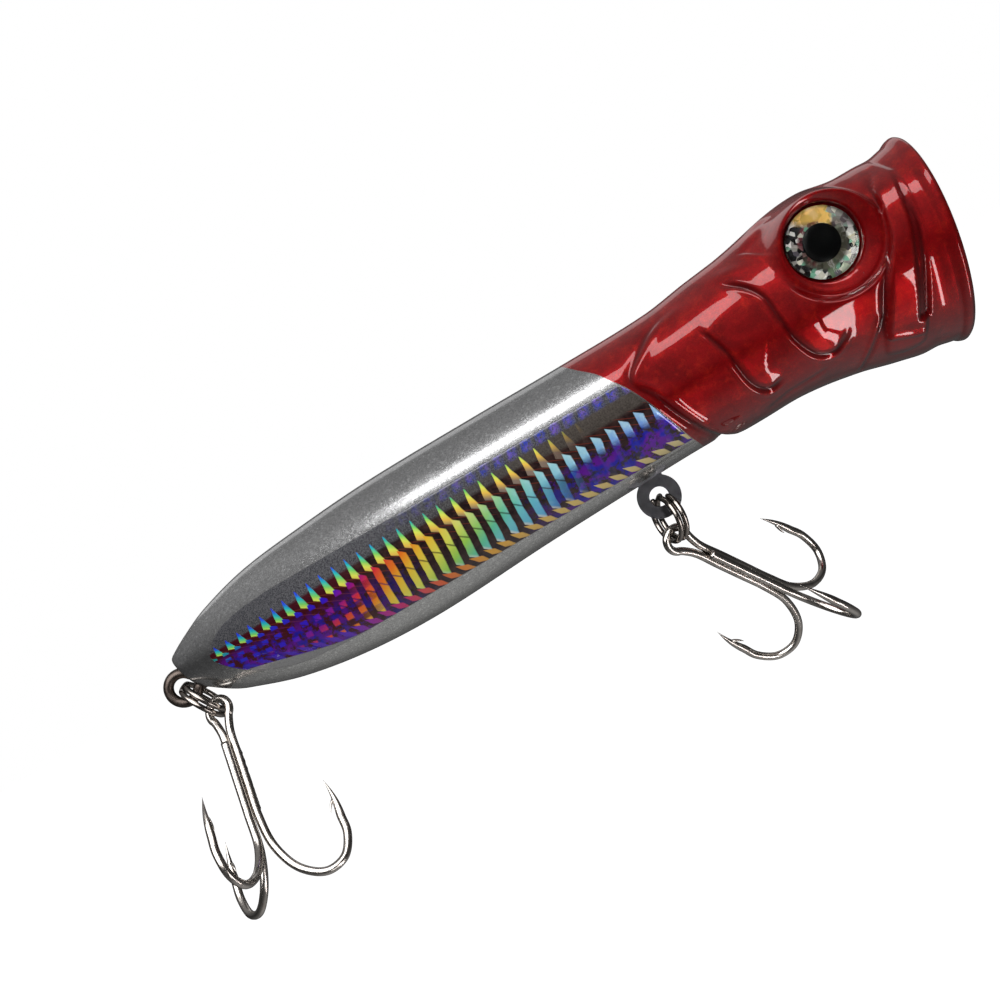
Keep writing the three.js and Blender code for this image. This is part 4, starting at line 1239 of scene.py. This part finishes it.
def braze_web():
    """A thin strip of braze with a ragged upper end and a rippled face."""
    rng = random.Random(3)
    rows, cols = 40, 9
    points = []
    for layer, depth in enumerate((BRAZE_THICK, 0.0)):
        rng.seed(3)
        for r in range(rows):
            share = r / (rows - 1)
            half = BRAZE_HALF_WIDTH * (1 - 0.45 * max(0, share - 0.86) / 0.14) + rng.uniform(-0.07, 0.05)
            for c in range(cols):
                u = 2 * c / (cols - 1) - 1
                ragged = 0.9 * math.sin(9 * u + 1) * max(0, share - 0.9) / 0.1
                bulge = 0 if layer else 0.10 * (1 - u * u) + rng.uniform(-0.05, 0.05)
                out = HOOK_WIRE_R + 0.2 + depth * (1 - 0.5 * abs(u) ** 3) + bulge
                points.append((half * u, out, SHANK_END + 1 + BRAZE_LENGTH * share + ragged))
    return np.array(points), slab_faces(rows, cols)


def hook_set(word, x, z, pose):
    ring, hook = pose_matrices(x, z, pose)
    for name, (points, faces), matrix, body, look, replaced in (
        ("ring_coils", split_ring(), ring, "ring", "ring", "split_ring"),
        ("hook_pair", double_hook(), hook, "treble", "hook", "double_hook"),
        ("hook_third", single_hook(), hook, "treble", "hook", "single_hook"),
        ("braze_strip", braze_web(), hook, "treble", "braze", "braze_web"),
    ):
        piece(f"{word}_{name}", placed(points, matrix), faces, f"{word}_{body}", LOOKS[look],
              [f"{word}_{replaced}"])


# Stage, lights and camera.
def stage():
    """A pale floor, made to look evenly white."""
    size, height, count = 6.0, -0.16, 24
    ticks = [(i / count - 0.5) * size for i in range(count + 1)]
    mesh = bpy.data.meshes.new("floor")
    mesh.from_pydata([(x, y, height) for y in ticks for x in ticks], [], grid_faces(count + 1, count + 1))
    floor = bpy.data.objects.new("floor", mesh)
    bpy.context.scene.collection.objects.link(floor)
    look = Look("floor_paper")
    look.put(Base_Color=look.mix(look.noise(60, 2), (0.80, 0.80, 0.80), (0.84, 0.84, 0.84)))
    look.put(Roughness=0.9, Emission_Color=(1.0, 1.0, 1.0, 1.0), Emission_Strength=0.92)
    mesh.materials.append(look.material)
    floor.visible_glossy = floor.visible_diffuse = floor.visible_transmission = False


def softbox(name, place, aim, size, power, lit, color=(1, 1, 1)):
    data = bpy.data.lights.new(name, "AREA")
    data.shape = "RECTANGLE"
    data.size, data.size_y = size
    data.energy = power
    data.color = color
    lamp = bpy.data.objects.new(name, data)
    bpy.context.scene.collection.objects.link(lamp)
    lamp.location = place
    lamp.rotation_mode = "QUATERNION"
    lamp.rotation_quaternion = (Vector(aim) - Vector(place)).to_track_quat("-Z", "Y")
    lamp.visible_camera = False
    lamp.light_linking.receiver_collection = lit
    return lamp


def lights():
    """Softboxes that light the lure only, so that the floor stays even. Sizes are in metres."""
    lure = bpy.data.collections.new("lit_by_softboxes")
    hardware = bpy.data.collections.new("lit_by_hardware_boxes")
    for obj in bpy.context.scene.objects:
        if obj.type == "MESH" and obj.name != "floor":
            lure.objects.link(obj)
            if any(word in obj.name for word in ("hook", "ring", "wire")):
                hardware.objects.link(obj)
    middle = (-0.09, 0, 0)
    softbox("top_softbox", (0.18, -0.33, 0.62), (0.18, 0, 0), (0.72, 0.17), 1.5, lure)
    softbox("window", (0.040, -0.27, -0.27), (0.040, 0, 0), (0.04, 0.42), 0.5, lure, (1.0, 0.93, 0.93))
    softbox("rear_softbox", (0.0, 0.60, 0.42), middle, (1.0, 0.25), 0.4, lure)
    softbox("hook_box_high", (-0.30, -0.50, 0.35), middle, (0.9, 0.6), 9.0, hardware)
    softbox("hook_box_low", (0.10, -0.50, -0.35), middle, (0.4, 0.2), 0.6, hardware)
    for name, y in (("front_fill", -1.0), ("rear_fill", 1.0)):
        softbox(name, (-0.45, y, 0.55), middle, (0.8, 0.8), 12.5, lure).visible_glossy = False


def studio():
    """A dim studio that the lure reflects: grey by height, and white where the camera sees it."""
    world = bpy.context.scene.world or bpy.data.worlds.new("studio")
    bpy.context.scene.world = world
    world.use_nodes = True
    nodes = Nodes(world.node_tree)
    nodes.tree.nodes.clear()
    up = nodes.split(nodes.add("ShaderNodeTexCoord").outputs["Generated"])[2]
    greys = ((0.0, 0.42), (0.16, 0.14), (0.42, 0.05), (0.54, 0.04), (0.74, 0.14), (0.95, 0.28))
    reflected = nodes.ramp(nodes.map(up, -1.0, 1.0), [(place, (grey, grey, grey)) for place, grey in greys])
    seen = nodes.add("ShaderNodeLightPath").outputs["Is Camera Ray"]
    background = nodes.add("ShaderNodeBackground")
    nodes.feed(background.inputs[0], nodes.mix(seen, reflected, (1.0, 1.0, 1.0)))
    nodes.feed(nodes.add("ShaderNodeOutputWorld").inputs[0], background.outputs[0])


def camera():
    """The camera looks at the lure's right side, rolled so that the nose points up to the right."""
    target = Vector((-0.105, 0, -0.0022))
    distance, elevation, roll = 0.41, math.radians(3), math.radians(30.4)
    look = Vector((0, math.cos(elevation), -math.sin(elevation)))
    right = Vector((1, 0, 0))
    up = right.cross(look)
    data = bpy.data.cameras.new("camera")
    data.sensor_width = 36
    data.lens = 66.4
    data.clip_start = 0.01
    seen = bpy.data.objects.new("camera", data)
    bpy.context.scene.collection.objects.link(seen)
    new_right = math.cos(roll) * right - math.sin(roll) * up
    new_up = math.sin(roll) * right + math.cos(roll) * up
    turn = Matrix((new_right, new_up, -look)).transposed()
    seen.matrix_world = Matrix.Translation(target - look * distance) @ turn.to_4x4()
    bpy.context.scene.camera = seen
    bpy.context.scene.view_settings.view_transform = "Standard"


for side, word in ((-1, "right"), (1, "left")):
    body_half(side, word)
    foil_panel(side, word)
    eye(side, word)
through_wire()
hanger()
cross_pin()
balls()
hook_set("tail", TAIL_LOOP[0] - TOW_STATION, TAIL_LOOP[1], TAIL_POSE)
hook_set("belly", HANGER_STATION - TOW_STATION, HANGER_EYE_Z, BELLY_POSE)
stage()
lights()
studio()
camera()
